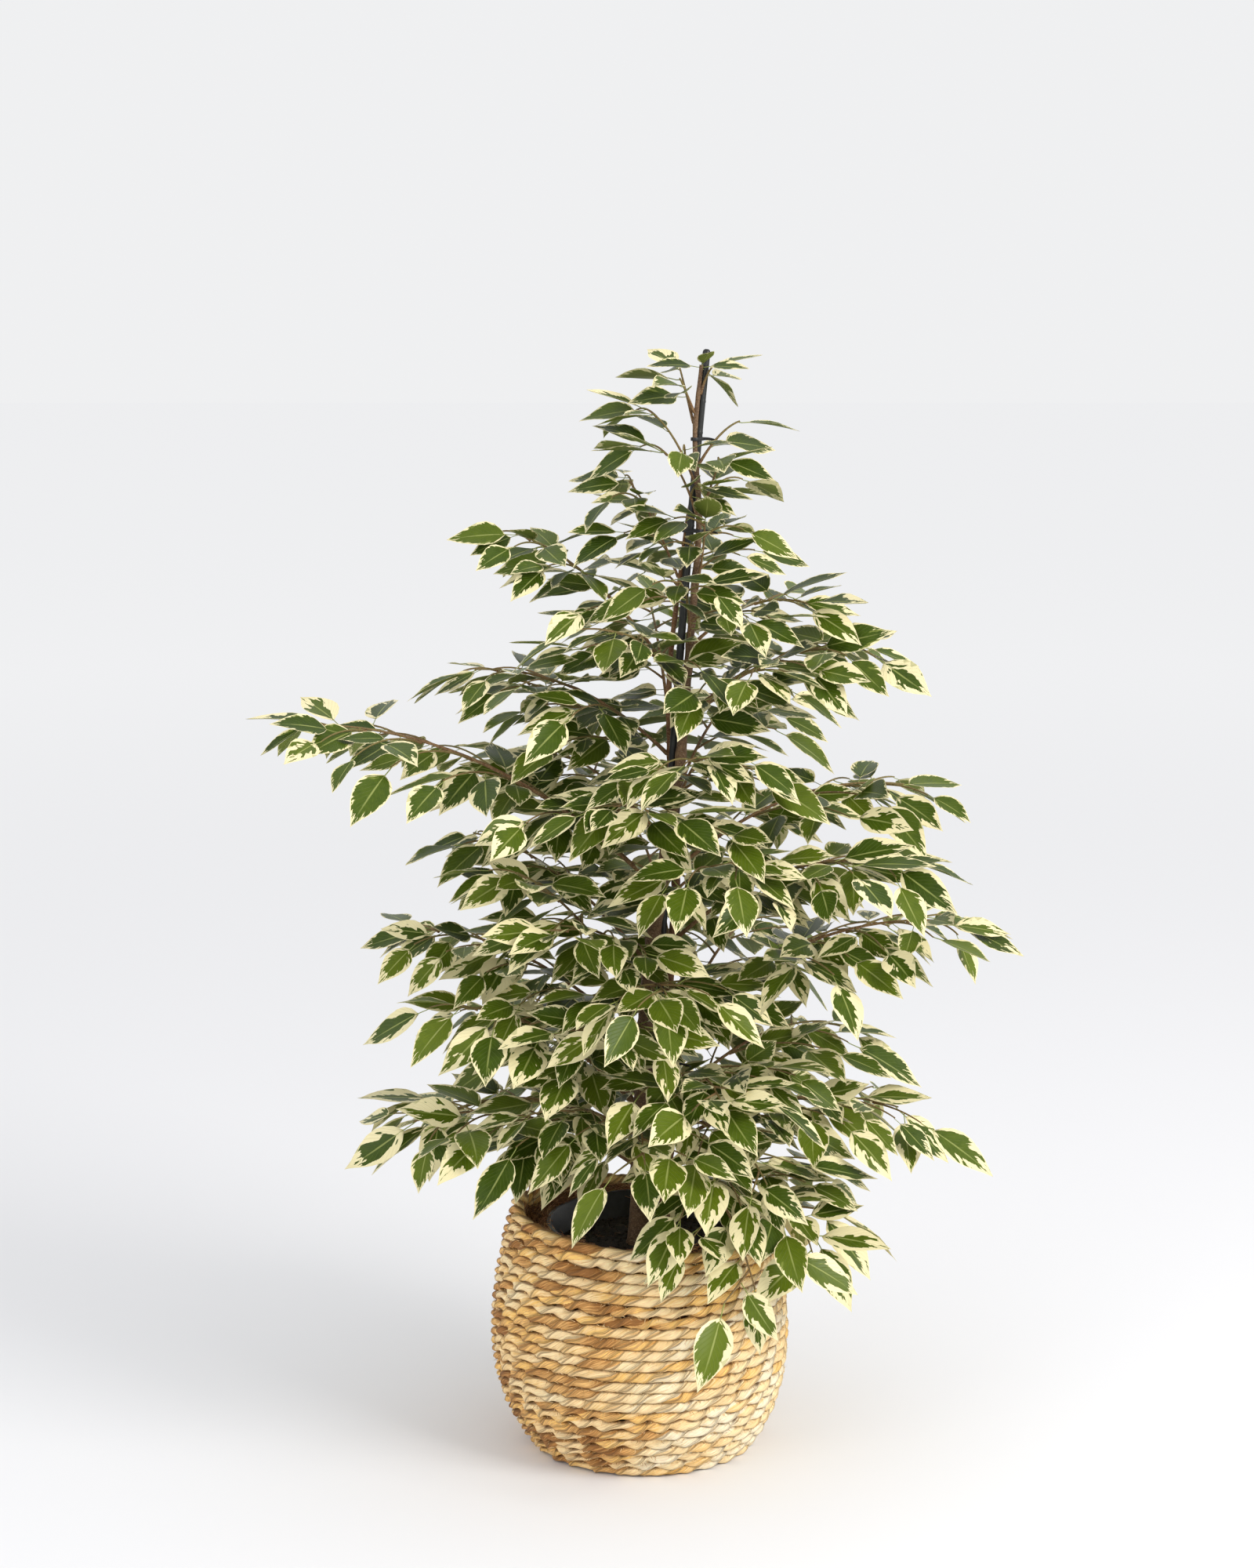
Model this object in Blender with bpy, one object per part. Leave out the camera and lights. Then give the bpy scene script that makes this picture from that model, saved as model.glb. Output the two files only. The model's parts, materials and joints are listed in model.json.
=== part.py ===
"""A variegated weeping fig in its nursery pot, standing in a coiled-rope basket.

Metres, +Z up. The origin is the middle of the basket's flat underside, the front faces -Y.
The stems climb a stake, and each branch is a spray of twigs with its leaves fused to it.
"""
import math
from random import Random

import bmesh
import bpy
from mathutils import Matrix, Vector
from mathutils.bvhtree import BVHTree

UP = Vector((0, 0, 1))
GAP = 0.0003                  # room left between pieces that touch

# Basket
BASKET_FOOT_RADIUS = 0.110
BASKET_WIDE_RADIUS = 0.148
BASKET_WIDE_HEIGHT = 0.115
BASKET_RIM_RADIUS = 0.131
BASKET_RIM_HEIGHT = 0.237
BASKET_RIM_TILT = 0.010       # the rim is this much lower at the right, and higher at the left
BASKET_FLARE = 2.3            # how suddenly the wall turns in towards the foot
BASKET_NECK = 1.8             # and towards the rim
BASKET_BULGE = 0.004          # the belly lies this much to the left
BASKET_OVAL = 0.010           # out of round, as a share of the radius
BASKET_LOBES = 0.006
BASKET_WALL = 0.010
BASKET_FLOOR = 0.011
ROPE_ROWS = 23
ROW_FINENESS = 400            # steps in which the wall is measured along its curve
ROPE_GROOVE = 0.0035          # how far the groove between two rows lies in
BASKET_SEGMENTS = 20
INNER_HEIGHTS = (0.231, 0.190, 0.130, 0.070, BASKET_FLOOR)

# Nursery pot, soil and packing
POT_CENTRE_X = 0.009          # the pot stands a little to the right in the basket
POT_FOOT_RADIUS = 0.080
POT_TOP_RADIUS = 0.104
POT_LIP_RADIUS = 0.107
POT_LIP_DEPTH = 0.008
POT_WALL = 0.002
POT_FLOOR = 0.003
POT_BOTTOM = BASKET_FLOOR + GAP
POT_TOP = 0.229
POT_SEGMENTS = 20
DRAIN_HOLES = 4
DRAIN_RADIUS = 0.006
DRAIN_CIRCLE = 0.045
SOIL_TOP = 0.206
SOIL_BUMPS = 0.002
SOIL_EDGE = 0.004             # the soil is this much lower against the pot
SOIL_RINGS = (0.085, 0.060, 0.036)
HOLE_SIDES = 8
PACKING_BOTTOM = 0.120
PACKING_TOP = 0.211
PACKING_BUMPS = 0.003
PACKING_CLEAR = 0.0012        # between the packing and the basket
PACKING_EDGES = (1.03, 1.93)  # how far its top runs, from 1 at the pot to 2 at the basket

# Stems, stake and ties
PLANT_FOOT = 0.225            # where the stems come into sight
PLANT_HEIGHT = 0.880          # from there to the top of the stake
AXIS_FOOT_X = 0.011
AXIS_LEAN = 0.050             # how far the plant leans to the right at its top
AXIS_CURVE = 1.7
ROOTED_AT = 0.120             # the stems and the stake go this deep into the soil
STAKE_RADIUS = 0.0038
STAKE_TOP = 1.100
MAIN_TOP = 1.085
MAIN_RADIUS = (0.0100, 0.0018)
MAIN_TAPER = 1.25
MAIN_WANDER = 0.0015          # how much further it strays from the stake here and there
WINDING_START = 195           # degrees round the stake at the foot of the main stem
WINDING_ACROSS = 155          # then it turns this much across the front
WINDING_BACK = 115            # and this much back
WINDING_HEIGHTS = ((0.42, 0.82), (0.90, 1.04))
SECOND_TOP = 0.960
SECOND_RADIUS = (0.0058, 0.0016)
SECOND_WANDER = 0.0050
SECOND_BEHIND = 150           # degrees round the stake from the main stem
STEM_SLACK = 0.0008           # what keeps a stem off the stake
WANDER_RATE = 23              # radians of stray for each metre of height
TIE_HEIGHTS = (0.392, 0.685, 0.925, 1.014)
TIE_WIDTH = 0.0032
TIE_THICKNESS = 0.0010
TIE_TAIL = 0.014
TAIL_RADII = (0.0014, 0.0011, 0.0008)
TIE_CLEAR = 0.0009            # between a tie and what it holds
TIE_ROOM = 0.004              # kept free of twigs round a tie
TIE_FLATS = 10
TIE_TURN = math.tau / TIE_FLATS

# Twigs
MAIN_STEPS = 4                # straight lengths that a branch's main twig is made of
MAIN_TWIG_LEAST = 0.0016      # radius at the fork of the shortest branch
MAIN_TWIG_REACH = 0.0045      # and how much it grows with the branch's reach
MAIN_TWIG_TIP = 0.0011
ARCH_OUT = 0.46               # where a branch's arch is highest, as a share of its reach
ARCH_LEAST = 0.012            # how far the arch climbs, with its reach and its rise
ARCH_REACH = 0.20
ARCH_RISE = 0.55
SIDE_STEPS = 2
SIDE_TWIG_RADII = (0.0014, 0.0010)
SIDE_SLANT = 48               # degrees from the main twig
SIDE_LIFT = 0.13
SIDE_BEND = 0.55              # where a side twig starts to sag
SIDE_SAG = (0.30, 0.65)
SIDE_SHARES = (0.22, 0.90)    # the first and last side twig, along the main one
SIDE_LENGTH = (0.034, 0.39)   # least length, and the share of the branch's reach that it adds
SIDE_SHIFT = 0.03             # how unevenly they are set
SIDE_SWING = 8
SIDE_VARIES = (0.87, 1.17)
SOLID_TWIGS = 3               # one side twig in so many is solid enough to be modelled here

# Leaves
SOLID_LEAVES = 5              # and one leaf in so many along a main twig
LEAF_LENGTH = (0.043, 0.069)  # shortest and longest blade
LEAF_GROWN = (1.12, 0.92)     # how much longer they are on the lowest branches, and on the highest
LEAF_WIDTH = 0.50             # of its length
LEAF_WIDEST = 0.30            # where along its length it is widest
LEAF_SHOULDER = (0.76, 0.66)  # share of its half width, and where along its length
LEAF_FOLD = 0.12              # depth of the fold along the midrib, of the blade's length
LEAF_THICKNESS = 0.0008
PETIOLE_LENGTH = 0.012
PETIOLE_WIDTH = 0.0010
PETIOLE_ROOT = 0.6            # share of its width in the twig
PETIOLE_END = 1.6             # and at the blade
PETIOLE_SUNK = 0.0001         # past the middle of the twig
BLADE_OVERLAP = 0.002         # how much of the petiole is kept clear of its own twig
LEAF_SPACING = 0.018          # along a twig, on alternate sides, wider towards the top
LEAF_THINNING = 0.6
LEAF_MISSING = 0.10           # share of the leaves that have dropped
LEAF_SLANT = (36, 74)         # degrees from the twig
TIP_SLANT = (-12, 12)
LEAF_FOLLOWS = 0.4            # share of the twig's own slope that a leaf keeps
LEAF_ROLL = 30
LEAF_TO_LIGHT = 0.45          # how far faces turn to the light, which comes from the front
LEAF_DROOP = (0.3, 1.4)       # share of the branch's droop that a leaf takes
LEAF_START = (0.022, 0.016)   # bare length at the foot of a main twig and of a side twig
LAST_LEAF = 0.055             # how far the leaf at a branch's tip reaches past its twig
LAST_DROP = 0.3
TIP_INSET = 0.0035            # how far before the twig's end its last leaf is seated
GUARD = 0.0011                # room kept round a blade or a twig
SOIL_ROOM = 0.010             # and over the soil
TURNS = (0, 14, -14, 28, -28, 45, -45)      # degrees by which growth is turned out of the way
LEAF_LIFTS = (0.0, 0.45)      # and a leaf lifted

# Branches: name, height of the fork, bearing, reach, rise of the tip, pairs of side twigs.
# The bearing is in degrees from +X towards +Y, so 270 comes towards the viewer. Reach and rise
# are from the stake at the fork to the tip of the last leaf.
BRANCHES = (
    ("left_1_low_front", 0.290, 193, 0.300, 0.040, 4),
    ("left_1_low_back", 0.315, 163, 0.270, -0.005, 3),
    ("left_2_front", 0.350, 206, 0.270, 0.105, 3),
    ("left_2_long", 0.415, 178, 0.290, 0.095, 4),
    ("left_3_front", 0.455, 210, 0.215, 0.130, 3),
    ("left_3_level", 0.500, 172, 0.245, 0.105, 3),
    ("left_4_longest", 0.575, 188, 0.408, 0.150, 5),
    ("left_5_back", 0.665, 160, 0.220, 0.090, 3),
    ("left_6_level", 0.705, 186, 0.250, 0.070, 3),
    ("left_7_upper", 0.790, 177, 0.215, 0.115, 3),
    ("right_1_low", 0.270, 332, 0.235, -0.050, 3),
    ("right_1_back", 0.310, 8, 0.305, 0.010, 4),
    ("right_2_back", 0.355, 28, 0.255, 0.040, 3),
    ("right_3_long", 0.430, 346, 0.350, 0.105, 5),
    ("right_4_front", 0.520, 333, 0.300, 0.080, 4),
    ("right_5_level", 0.590, 12, 0.300, 0.060, 4),
    ("right_6_upper", 0.745, 354, 0.240, 0.052, 3),
    ("right_7_top", 0.815, 6, 0.160, 0.025, 3),
    ("front_1_hanging", 0.280, 300, 0.245, -0.085, 3),
    ("front_1_left", 0.310, 228, 0.185, 0.040, 2),
    ("front_1_right", 0.325, 312, 0.215, -0.040, 3),
    ("front_2_low", 0.335, 266, 0.225, -0.015, 3),
    ("front_2_right", 0.375, 292, 0.215, 0.000, 3),
    ("front_2_left", 0.415, 240, 0.210, 0.025, 3),
    ("front_3_middle", 0.450, 272, 0.200, 0.030, 3),
    ("front_3_left", 0.490, 232, 0.215, 0.045, 3),
    ("front_4_right", 0.550, 300, 0.205, 0.050, 3),
    ("front_4_left", 0.610, 250, 0.205, 0.050, 3),
    ("front_5_right", 0.650, 285, 0.190, 0.055, 3),
    ("front_6_right", 0.730, 312, 0.180, 0.055, 2),
    ("front_6_left", 0.760, 236, 0.165, 0.060, 2),
    ("front_7_middle", 0.815, 268, 0.125, 0.050, 2),
    ("back_1_low", 0.300, 95, 0.280, 0.020, 4),
    ("back_1_left", 0.345, 130, 0.265, 0.060, 3),
    ("back_2_right", 0.415, 62, 0.280, 0.070, 3),
    ("back_3_middle", 0.505, 100, 0.275, 0.085, 4),
    ("back_4_left", 0.595, 135, 0.235, 0.080, 3),
    ("back_5_right", 0.650, 65, 0.240, 0.075, 3),
    ("back_6_middle", 0.745, 100, 0.200, 0.080, 3),
    ("back_7_middle", 0.840, 75, 0.125, 0.060, 2),
    ("top_1_left", 0.880, 158, 0.115, 0.075, 2),
    ("top_1_front", 0.870, 300, 0.090, 0.050, 2),
    ("top_2_left", 0.942, 212, 0.088, 0.045, 1),
    ("top_2_right", 0.945, 330, 0.085, 0.030, 1),
    ("top_3_left", 0.973, 205, 0.100, 0.050, 1),
    ("top_3_right", 0.990, 348, 0.098, 0.025, 0),
    ("top_4_back", 1.030, 140, 0.080, 0.035, 0),
    ("top_5_left", 1.040, 200, 0.077, 0.016, 0),
    ("top_5_tip", 1.058, 352, 0.066, 0.010, 0),
)
DROOP_LOW = 0.80              # how steeply leaves hang on the lowest branches
DROOP_HIGH = 0.22             # and on the highest


def clear_scene():
    """Remove every object, so that the script can run again in an open file."""
    for old in list(bpy.data.objects):
        bpy.data.objects.remove(old, do_unlink=True)


def material(name, colour, roughness, metallic=0.0):
    """A plain Principled material."""
    made = bpy.data.materials.new(name)
    made.use_nodes = True
    shader = made.node_tree.nodes["Principled BSDF"]
    shader.inputs["Base Color"].default_value = (*colour, 1.0)
    shader.inputs["Roughness"].default_value = roughness
    shader.inputs["Metallic"].default_value = metallic
    made.diffuse_color = (*colour, 1.0)
    return made


def mesh_object(name, points, faces, finish=None):
    """An object at the origin from a list of points and faces."""
    mesh = bpy.data.meshes.new(name)
    mesh.from_pydata([tuple(point) for point in points], [], faces)
    if finish:
        mesh.materials.append(finish)
    made = bpy.data.objects.new(name, mesh)
    bpy.context.scene.collection.objects.link(made)
    return made


def triangulate(body):
    """Split every face into triangles, which keeps later cuts clean."""
    work = bmesh.new()
    work.from_mesh(body.data)
    bmesh.ops.triangulate(work, faces=work.faces[:])
    work.to_mesh(body.data)
    work.free()


def apply_modifiers(body):
    """Bake the modifiers of an object into its mesh."""
    graph = bpy.context.evaluated_depsgraph_get()
    baked = bpy.data.meshes.new_from_object(body.evaluated_get(graph))
    body.modifiers.clear()
    old = body.data
    body.data = baked
    bpy.data.meshes.remove(old)


def boolean_with(body, others, operation):
    """Cut a group of closed solids out of a body, or join them to it, and remove them."""
    group = bpy.data.collections.new("joined_to_" + body.name)
    for other in others:
        bpy.context.scene.collection.objects.unlink(other)
        group.objects.link(other)
    bpy.context.scene.collection.children.link(group)
    step = body.modifiers.new("boolean", "BOOLEAN")
    step.operation = operation
    step.solver = "EXACT"
    step.operand_type = "COLLECTION"
    step.collection = group
    apply_modifiers(body)
    for other in others:
        bpy.data.objects.remove(other, do_unlink=True)
    bpy.data.collections.remove(group)


def turned(profile, segments, place):
    """Turn a profile round the upright axis: outer side going up, inner side coming down.

    A point of radius 0 at either end closes the shape with a pole, and a profile with no such
    end is closed into a ring. place(radius, height, angle) gives the point in space.
    """
    points = []
    rings = []
    for radius, height in profile:
        first = len(points)
        if radius == 0:
            points.append(place(0.0, height, 0.0))
            rings.append([first] * segments)
        else:
            points += [place(radius, height, math.tau * k / segments) for k in range(segments)]
            rings.append(list(range(first, first + segments)))
    pairs = list(zip(rings, rings[1:]))
    if profile[0][0] and profile[-1][0]:
        pairs.append((rings[-1], rings[0]))
    faces = []
    for low, high in pairs:
        for k in range(segments):
            ahead = (k + 1) % segments
            corners = (low[k], low[ahead], high[ahead], high[k])
            faces.append(tuple(dict.fromkeys(corners)))
    return points, faces


def tube(path, radii, sides, flat_root=None):
    """A round closed tube along a path, with its own radius at each point."""
    points = []
    faces = []
    for step, (centre, radius) in enumerate(zip(path, radii)):
        before = path[max(step - 1, 0)]
        after = path[min(step + 1, len(path) - 1)]
        along = (after - before).normalized()
        if step == 0 and flat_root:
            along = flat_root
        across = along.cross(UP)
        if across.length < 0.3:
            across = along.cross(Vector((0, 1, 0)))
        across.normalize()
        over = across.cross(along)
        for side in range(sides):
            turn = math.tau * side / sides
            points.append(centre + (across * math.cos(turn) + over * math.sin(turn)) * radius)
    for step in range(len(path) - 1):
        for side in range(sides):
            ahead = (side + 1) % sides
            low = step * sides
            high = low + sides
            faces.append((low + side, high + side, high + ahead))
            faces.append((low + side, high + ahead, low + ahead))
    last = (len(path) - 1) * sides
    faces.append(tuple(range(sides)))
    faces.append(tuple(last + side for side in reversed(range(sides))))
    return points, faces


# Basket


def basket_radius(height):
    """Outer radius of the basket at a height: it bulges below the middle and draws in to the rim."""
    if height < BASKET_WIDE_HEIGHT:
        drop = (BASKET_WIDE_HEIGHT - height) / BASKET_WIDE_HEIGHT
        return BASKET_WIDE_RADIUS - (BASKET_WIDE_RADIUS - BASKET_FOOT_RADIUS) * drop ** BASKET_FLARE
    rise = (height - BASKET_WIDE_HEIGHT) / (BASKET_RIM_HEIGHT - BASKET_WIDE_HEIGHT)
    return BASKET_WIDE_RADIUS - (BASKET_WIDE_RADIUS - BASKET_RIM_RADIUS) * rise ** BASKET_NECK


def rope_heights():
    """Heights between the rows of rope, which are equally wide along the wall's curve."""
    heights = [BASKET_RIM_HEIGHT * k / ROW_FINENESS for k in range(ROW_FINENESS + 1)]
    lengths = [0.0]
    for low, high in zip(heights, heights[1:]):
        lengths.append(lengths[-1] + math.hypot(high - low, basket_radius(high) - basket_radius(low)))
    found = [heights[0]]
    for row in range(1, ROPE_ROWS):
        wanted = lengths[-1] * row / ROPE_ROWS
        found.append(next(height for height, length in zip(heights, lengths) if length >= wanted))
    return found + [heights[-1]]


def basket_inside(height):
    """Radius of the hollow at a height, straight from step to step of the inner wall."""
    for high, low in zip(INNER_HEIGHTS, INNER_HEIGHTS[1:]):
        if height >= low:
            break
    share = (height - low) / (high - low)
    inner = basket_radius(low) + (basket_radius(high) - basket_radius(low)) * share
    return inner - BASKET_WALL


def basket_place(radius, height, angle):
    """Where a point of the basket lies: handmade, it tilts and is a little out of round."""
    share = height / BASKET_RIM_HEIGHT
    oval = BASKET_OVAL * math.cos(2 * angle + 1.0)
    lobes = BASKET_LOBES * math.cos(3 * angle + 0.6)
    uneven = 1 + share * (oval + lobes)
    side = radius * uneven * math.cos(angle)
    depth = radius * uneven * math.sin(angle)
    bulge = -BASKET_BULGE * math.sin(math.pi * share) * radius / BASKET_WIDE_RADIUS
    tilt = BASKET_RIM_TILT * share ** 2 * side / BASKET_RIM_RADIUS
    return Vector((side + bulge, depth, height - tilt))


def make_basket(finish):
    """The coiled rope basket: a shell with a ridge for each row of rope, and a flat underside."""
    edges = rope_heights()
    profile = [(0, 0), (BASKET_FOOT_RADIUS - ROPE_GROOVE, 0)]
    for low, high in zip(edges, edges[1:]):
        middle = (low + high) / 2
        profile.append((basket_radius(middle), middle))
        if high < BASKET_RIM_HEIGHT:
            profile.append((basket_radius(high) - ROPE_GROOVE, high))
    profile.append((BASKET_RIM_RADIUS - 0.3 * BASKET_WALL, BASKET_RIM_HEIGHT))
    profile.append((BASKET_RIM_RADIUS - 0.7 * BASKET_WALL, BASKET_RIM_HEIGHT))
    profile += [(basket_inside(height), height) for height in INNER_HEIGHTS]
    profile.append((0, BASKET_FLOOR))
    points, faces = turned(profile, BASKET_SEGMENTS, basket_place)
    for point in points:
        if point.z < BASKET_FLOOR / 4:
            point.z = 0.0
    return mesh_object("basket", points, faces, finish)


# Nursery pot, soil and packing


def pot_radius(height):
    """Outer radius of the pot's wall, which widens evenly to the top."""
    share = (height - POT_BOTTOM) / (POT_TOP - POT_BOTTOM)
    return POT_FOOT_RADIUS + (POT_TOP_RADIUS - POT_FOOT_RADIUS) * share


def pot_place(radius, height, angle):
    """Where a point of the pot lies."""
    return Vector((POT_CENTRE_X + radius * math.cos(angle), radius * math.sin(angle), height))


def make_nursery_pot(finish):
    """A thin pot with a turned lip, and drainage holes through its floor."""
    lip_bottom = POT_TOP - POT_LIP_DEPTH
    profile = [
        (0, POT_BOTTOM),
        (POT_FOOT_RADIUS, POT_BOTTOM),
        (pot_radius(lip_bottom), lip_bottom),
        (POT_LIP_RADIUS, lip_bottom),
        (POT_LIP_RADIUS, POT_TOP),
        (POT_TOP_RADIUS - POT_WALL, POT_TOP),
        (pot_radius(POT_BOTTOM + POT_FLOOR) - POT_WALL, POT_BOTTOM + POT_FLOOR),
        (0, POT_BOTTOM + POT_FLOOR),
    ]
    points, faces = turned(profile, POT_SEGMENTS, pot_place)
    pot = mesh_object("nursery_pot", points, faces, finish)
    triangulate(pot)
    drills = []
    for hole in range(DRAIN_HOLES):
        turn = math.tau * (hole + 0.5) / DRAIN_HOLES
        centre = pot_place(DRAIN_CIRCLE, POT_BOTTOM, turn)
        ends = [centre - UP * POT_FLOOR, centre + UP * 2 * POT_FLOOR]
        drills.append(mesh_object("drill_%d" % hole, *tube(ends, [DRAIN_RADIUS] * 2, 8)))
    boolean_with(pot, drills, "DIFFERENCE")
    return pot


def make_soil(finish):
    """Soil filling the pot, with an uneven top and plain holes where the plant and stake stand."""
    bottom = POT_BOTTOM + POT_FLOOR + GAP
    inside = POT_WALL + 2 * GAP
    profile = [(0, bottom)]
    profile += [(pot_radius(height) - inside, height) for height in (bottom, SOIL_TOP - SOIL_EDGE)]
    profile += [(radius, SOIL_TOP) for radius in SOIL_RINGS]
    profile.append((0, SOIL_TOP))

    def bumpy(radius, height, angle):
        point = pot_place(radius, height, angle)
        if height == SOIL_TOP:
            wave = math.sin(71 * point.x + 1) * math.cos(83 * point.y) + 0.5 * math.sin(160 * point.y + 2)
            point.z += SOIL_BUMPS * wave
        return point

    points, faces = turned(profile, POT_SEGMENTS, bumpy)
    soil = mesh_object("soil", points, faces, finish)
    triangulate(soil)
    holes = []
    for name, centre_line, radius, _ in STANDING:
        path = [centre_line(height) for height in (ROOTED_AT - 3 * GAP, PLANT_FOOT)]
        reach = (radius(SOIL_TOP) + 2 * GAP) / math.cos(math.pi / HOLE_SIDES)
        holes.append(mesh_object("hole_" + name, *tube(path, [reach] * 2, HOLE_SIDES)))
    boolean_with(soil, holes, "DIFFERENCE")
    return soil


def make_packing(finish):
    """Fibre between the pot and the basket, wide at the left where the pot stands away from it."""

    def pot_side(height, angle):
        across = POT_CENTRE_X * math.sin(angle)
        reach = pot_radius(height) / math.cos(math.pi / POT_SEGMENTS) + 2 * GAP
        return POT_CENTRE_X * math.cos(angle) + math.sqrt(reach ** 2 - across ** 2)

    def between(share, height, angle):
        edge = basket_place(basket_inside(height) - PACKING_CLEAR, height, angle)
        outer = math.hypot(edge.x, edge.y)
        inner = pot_side(height, angle)
        radius = inner + (outer - inner) * (share - 1)
        point = Vector((radius * math.cos(angle), radius * math.sin(angle), height))
        if height > (PACKING_TOP + PACKING_BOTTOM) / 2:
            lumps = math.sin(5 * angle + 6 * share) + 0.6 * math.cos(9 * angle - 4 * share)
            point.z += PACKING_BUMPS * lumps * (height - PACKING_BOTTOM) / (PACKING_TOP - PACKING_BOTTOM)
        return point

    near, far = PACKING_EDGES
    side_steps = 3
    depth = PACKING_TOP - PACKING_BOTTOM
    profile = [(1, PACKING_BOTTOM)]
    profile += [(far, PACKING_BOTTOM + depth * step / side_steps) for step in range(side_steps + 1)]
    profile += [((near + far) / 2, PACKING_TOP + PACKING_BUMPS / 2), (near, PACKING_TOP)]
    points, faces = turned(profile, POT_SEGMENTS, between)
    packing = mesh_object("coir_packing", points, faces, finish)
    triangulate(packing)
    return packing


# Stems, stake and ties


def climb(height):
    """0 where the plant comes out of the soil, 1 at the top of the stake."""
    return min(max((height - PLANT_FOOT) / PLANT_HEIGHT, 0.0), 1.0)


def stake_line(height):
    """Middle of the stake, which leans and bows to the right."""
    return Vector((AXIS_FOOT_X + AXIS_LEAN * climb(height) ** AXIS_CURVE, 0, height))


def stake_radius(height):
    """The same at every height, in the form that the stems have."""
    return STAKE_RADIUS


def main_radius(height):
    """The main stem thins fast at first."""
    return MAIN_RADIUS[1] + (MAIN_RADIUS[0] - MAIN_RADIUS[1]) * (1 - climb(height)) ** MAIN_TAPER


def second_radius(height):
    """The second stem thins evenly."""
    share = max(1 - climb(height) / climb(SECOND_TOP), 0.0)
    return SECOND_RADIUS[1] + (SECOND_RADIUS[0] - SECOND_RADIUS[1]) * share


def ease(height, low, high):
    """0 below the low height, 1 above the high one, with a smooth change between."""
    share = min(max((height - low) / (high - low), 0.0), 1.0)
    return share * share * (3 - 2 * share)


def winding(height):
    """Angle at which the main stem lies round the stake: it crosses in front, and back near the top."""
    across = WINDING_ACROSS * ease(height, *WINDING_HEIGHTS[0])
    back = WINDING_BACK * ease(height, *WINDING_HEIGHTS[1])
    return math.radians(WINDING_START + across - back)


def beside_stake(height, turn, radius, wander):
    """Middle of a stem of this radius, on this side of the stake, at times a little off it."""
    wave = 0.5 + 0.5 * math.sin(WANDER_RATE * max(height, PLANT_FOOT) + turn)
    away = STAKE_RADIUS + radius + STEM_SLACK + wander * wave
    return stake_line(height) + Vector((math.cos(turn), math.sin(turn), 0)) * away


def main_line(height):
    """Middle of the main stem."""
    return beside_stake(height, winding(height), main_radius(height), MAIN_WANDER)


def second_line(height):
    """Middle of the second stem, on the far side of the stake from the main one."""
    turn = winding(height) + math.radians(SECOND_BEHIND)
    return beside_stake(height, turn, second_radius(height), SECOND_WANDER)


# What stands in the soil: name, middle line, radius, top
STANDING = (
    ("stem_main", main_line, main_radius, MAIN_TOP),
    ("stem_second", second_line, second_radius, SECOND_TOP),
    ("stake", stake_line, stake_radius, STAKE_TOP),
)


def standing_shape(centre_line, radius, top, rings, sides):
    """A stem or the stake as a tube, from its foot in the soil to its top."""
    heights = [ROOTED_AT + (top - ROOTED_AT) * k / rings for k in range(rings + 1)]
    return tube([centre_line(height) for height in heights], [radius(height) for height in heights], sides)


def tie_corner(height, corner, outward=0.0):
    """A corner of the tie's loop, where the flats that touch what it holds meet."""
    held = [(line(height), radius(height)) for _, line, radius, top in STANDING if top > height + 0.01]
    reach = []
    for k in (corner, corner + 1):
        look = Vector((math.cos(TIE_TURN * k), math.sin(TIE_TURN * k), 0))
        reach.append(max(centre.dot(look) + radius for centre, radius in held) + TIE_CLEAR + outward)
    along = (reach[1] - reach[0] * math.cos(TIE_TURN)) / math.sin(TIE_TURN)
    turn = TIE_TURN * corner
    look = Vector((math.cos(turn), math.sin(turn), 0))
    side = Vector((-math.sin(turn), math.cos(turn), 0))
    return look * reach[0] + side * along + UP * height


def tie_tail(height):
    """The cut end of a tie, which sticks out to the right."""
    flat = [tie_corner(height, corner, TIE_THICKNESS * 0.4) for corner in (-1, 0)]
    root = flat[0].lerp(flat[1], 0.4)
    return [root, root + Vector((TIE_TAIL * 0.5, -0.001, 0.0005)), root + Vector((TIE_TAIL, -0.003, -0.002))]


def make_tie(name, height, finish):
    """A plastic strap round the stake and both stems, pulled tight, with its tail left on."""
    points = []
    faces = []
    for k in range(TIE_FLATS):
        low = 4 * k
        high = 4 * ((k + 1) % TIE_FLATS)
        near = tie_corner(height, k)
        far = tie_corner(height, k, TIE_THICKNESS)
        for corner, level in ((near, -1), (far, -1), (far, 1), (near, 1)):
            points.append(corner + UP * level * TIE_WIDTH / 2)
        for corner in range(4):
            ahead = (corner + 1) % 4
            faces.append((low + corner, high + corner, high + ahead, low + ahead))
    strap = mesh_object(name, points, faces, finish)
    triangulate(strap)
    tail = tube(tie_tail(height), TAIL_RADII, 4)
    boolean_with(strap, [mesh_object(name + "_tail", *tail)], "UNION")
    return strap


# Shoots: the main twig of a branch and the side twigs on it


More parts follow.
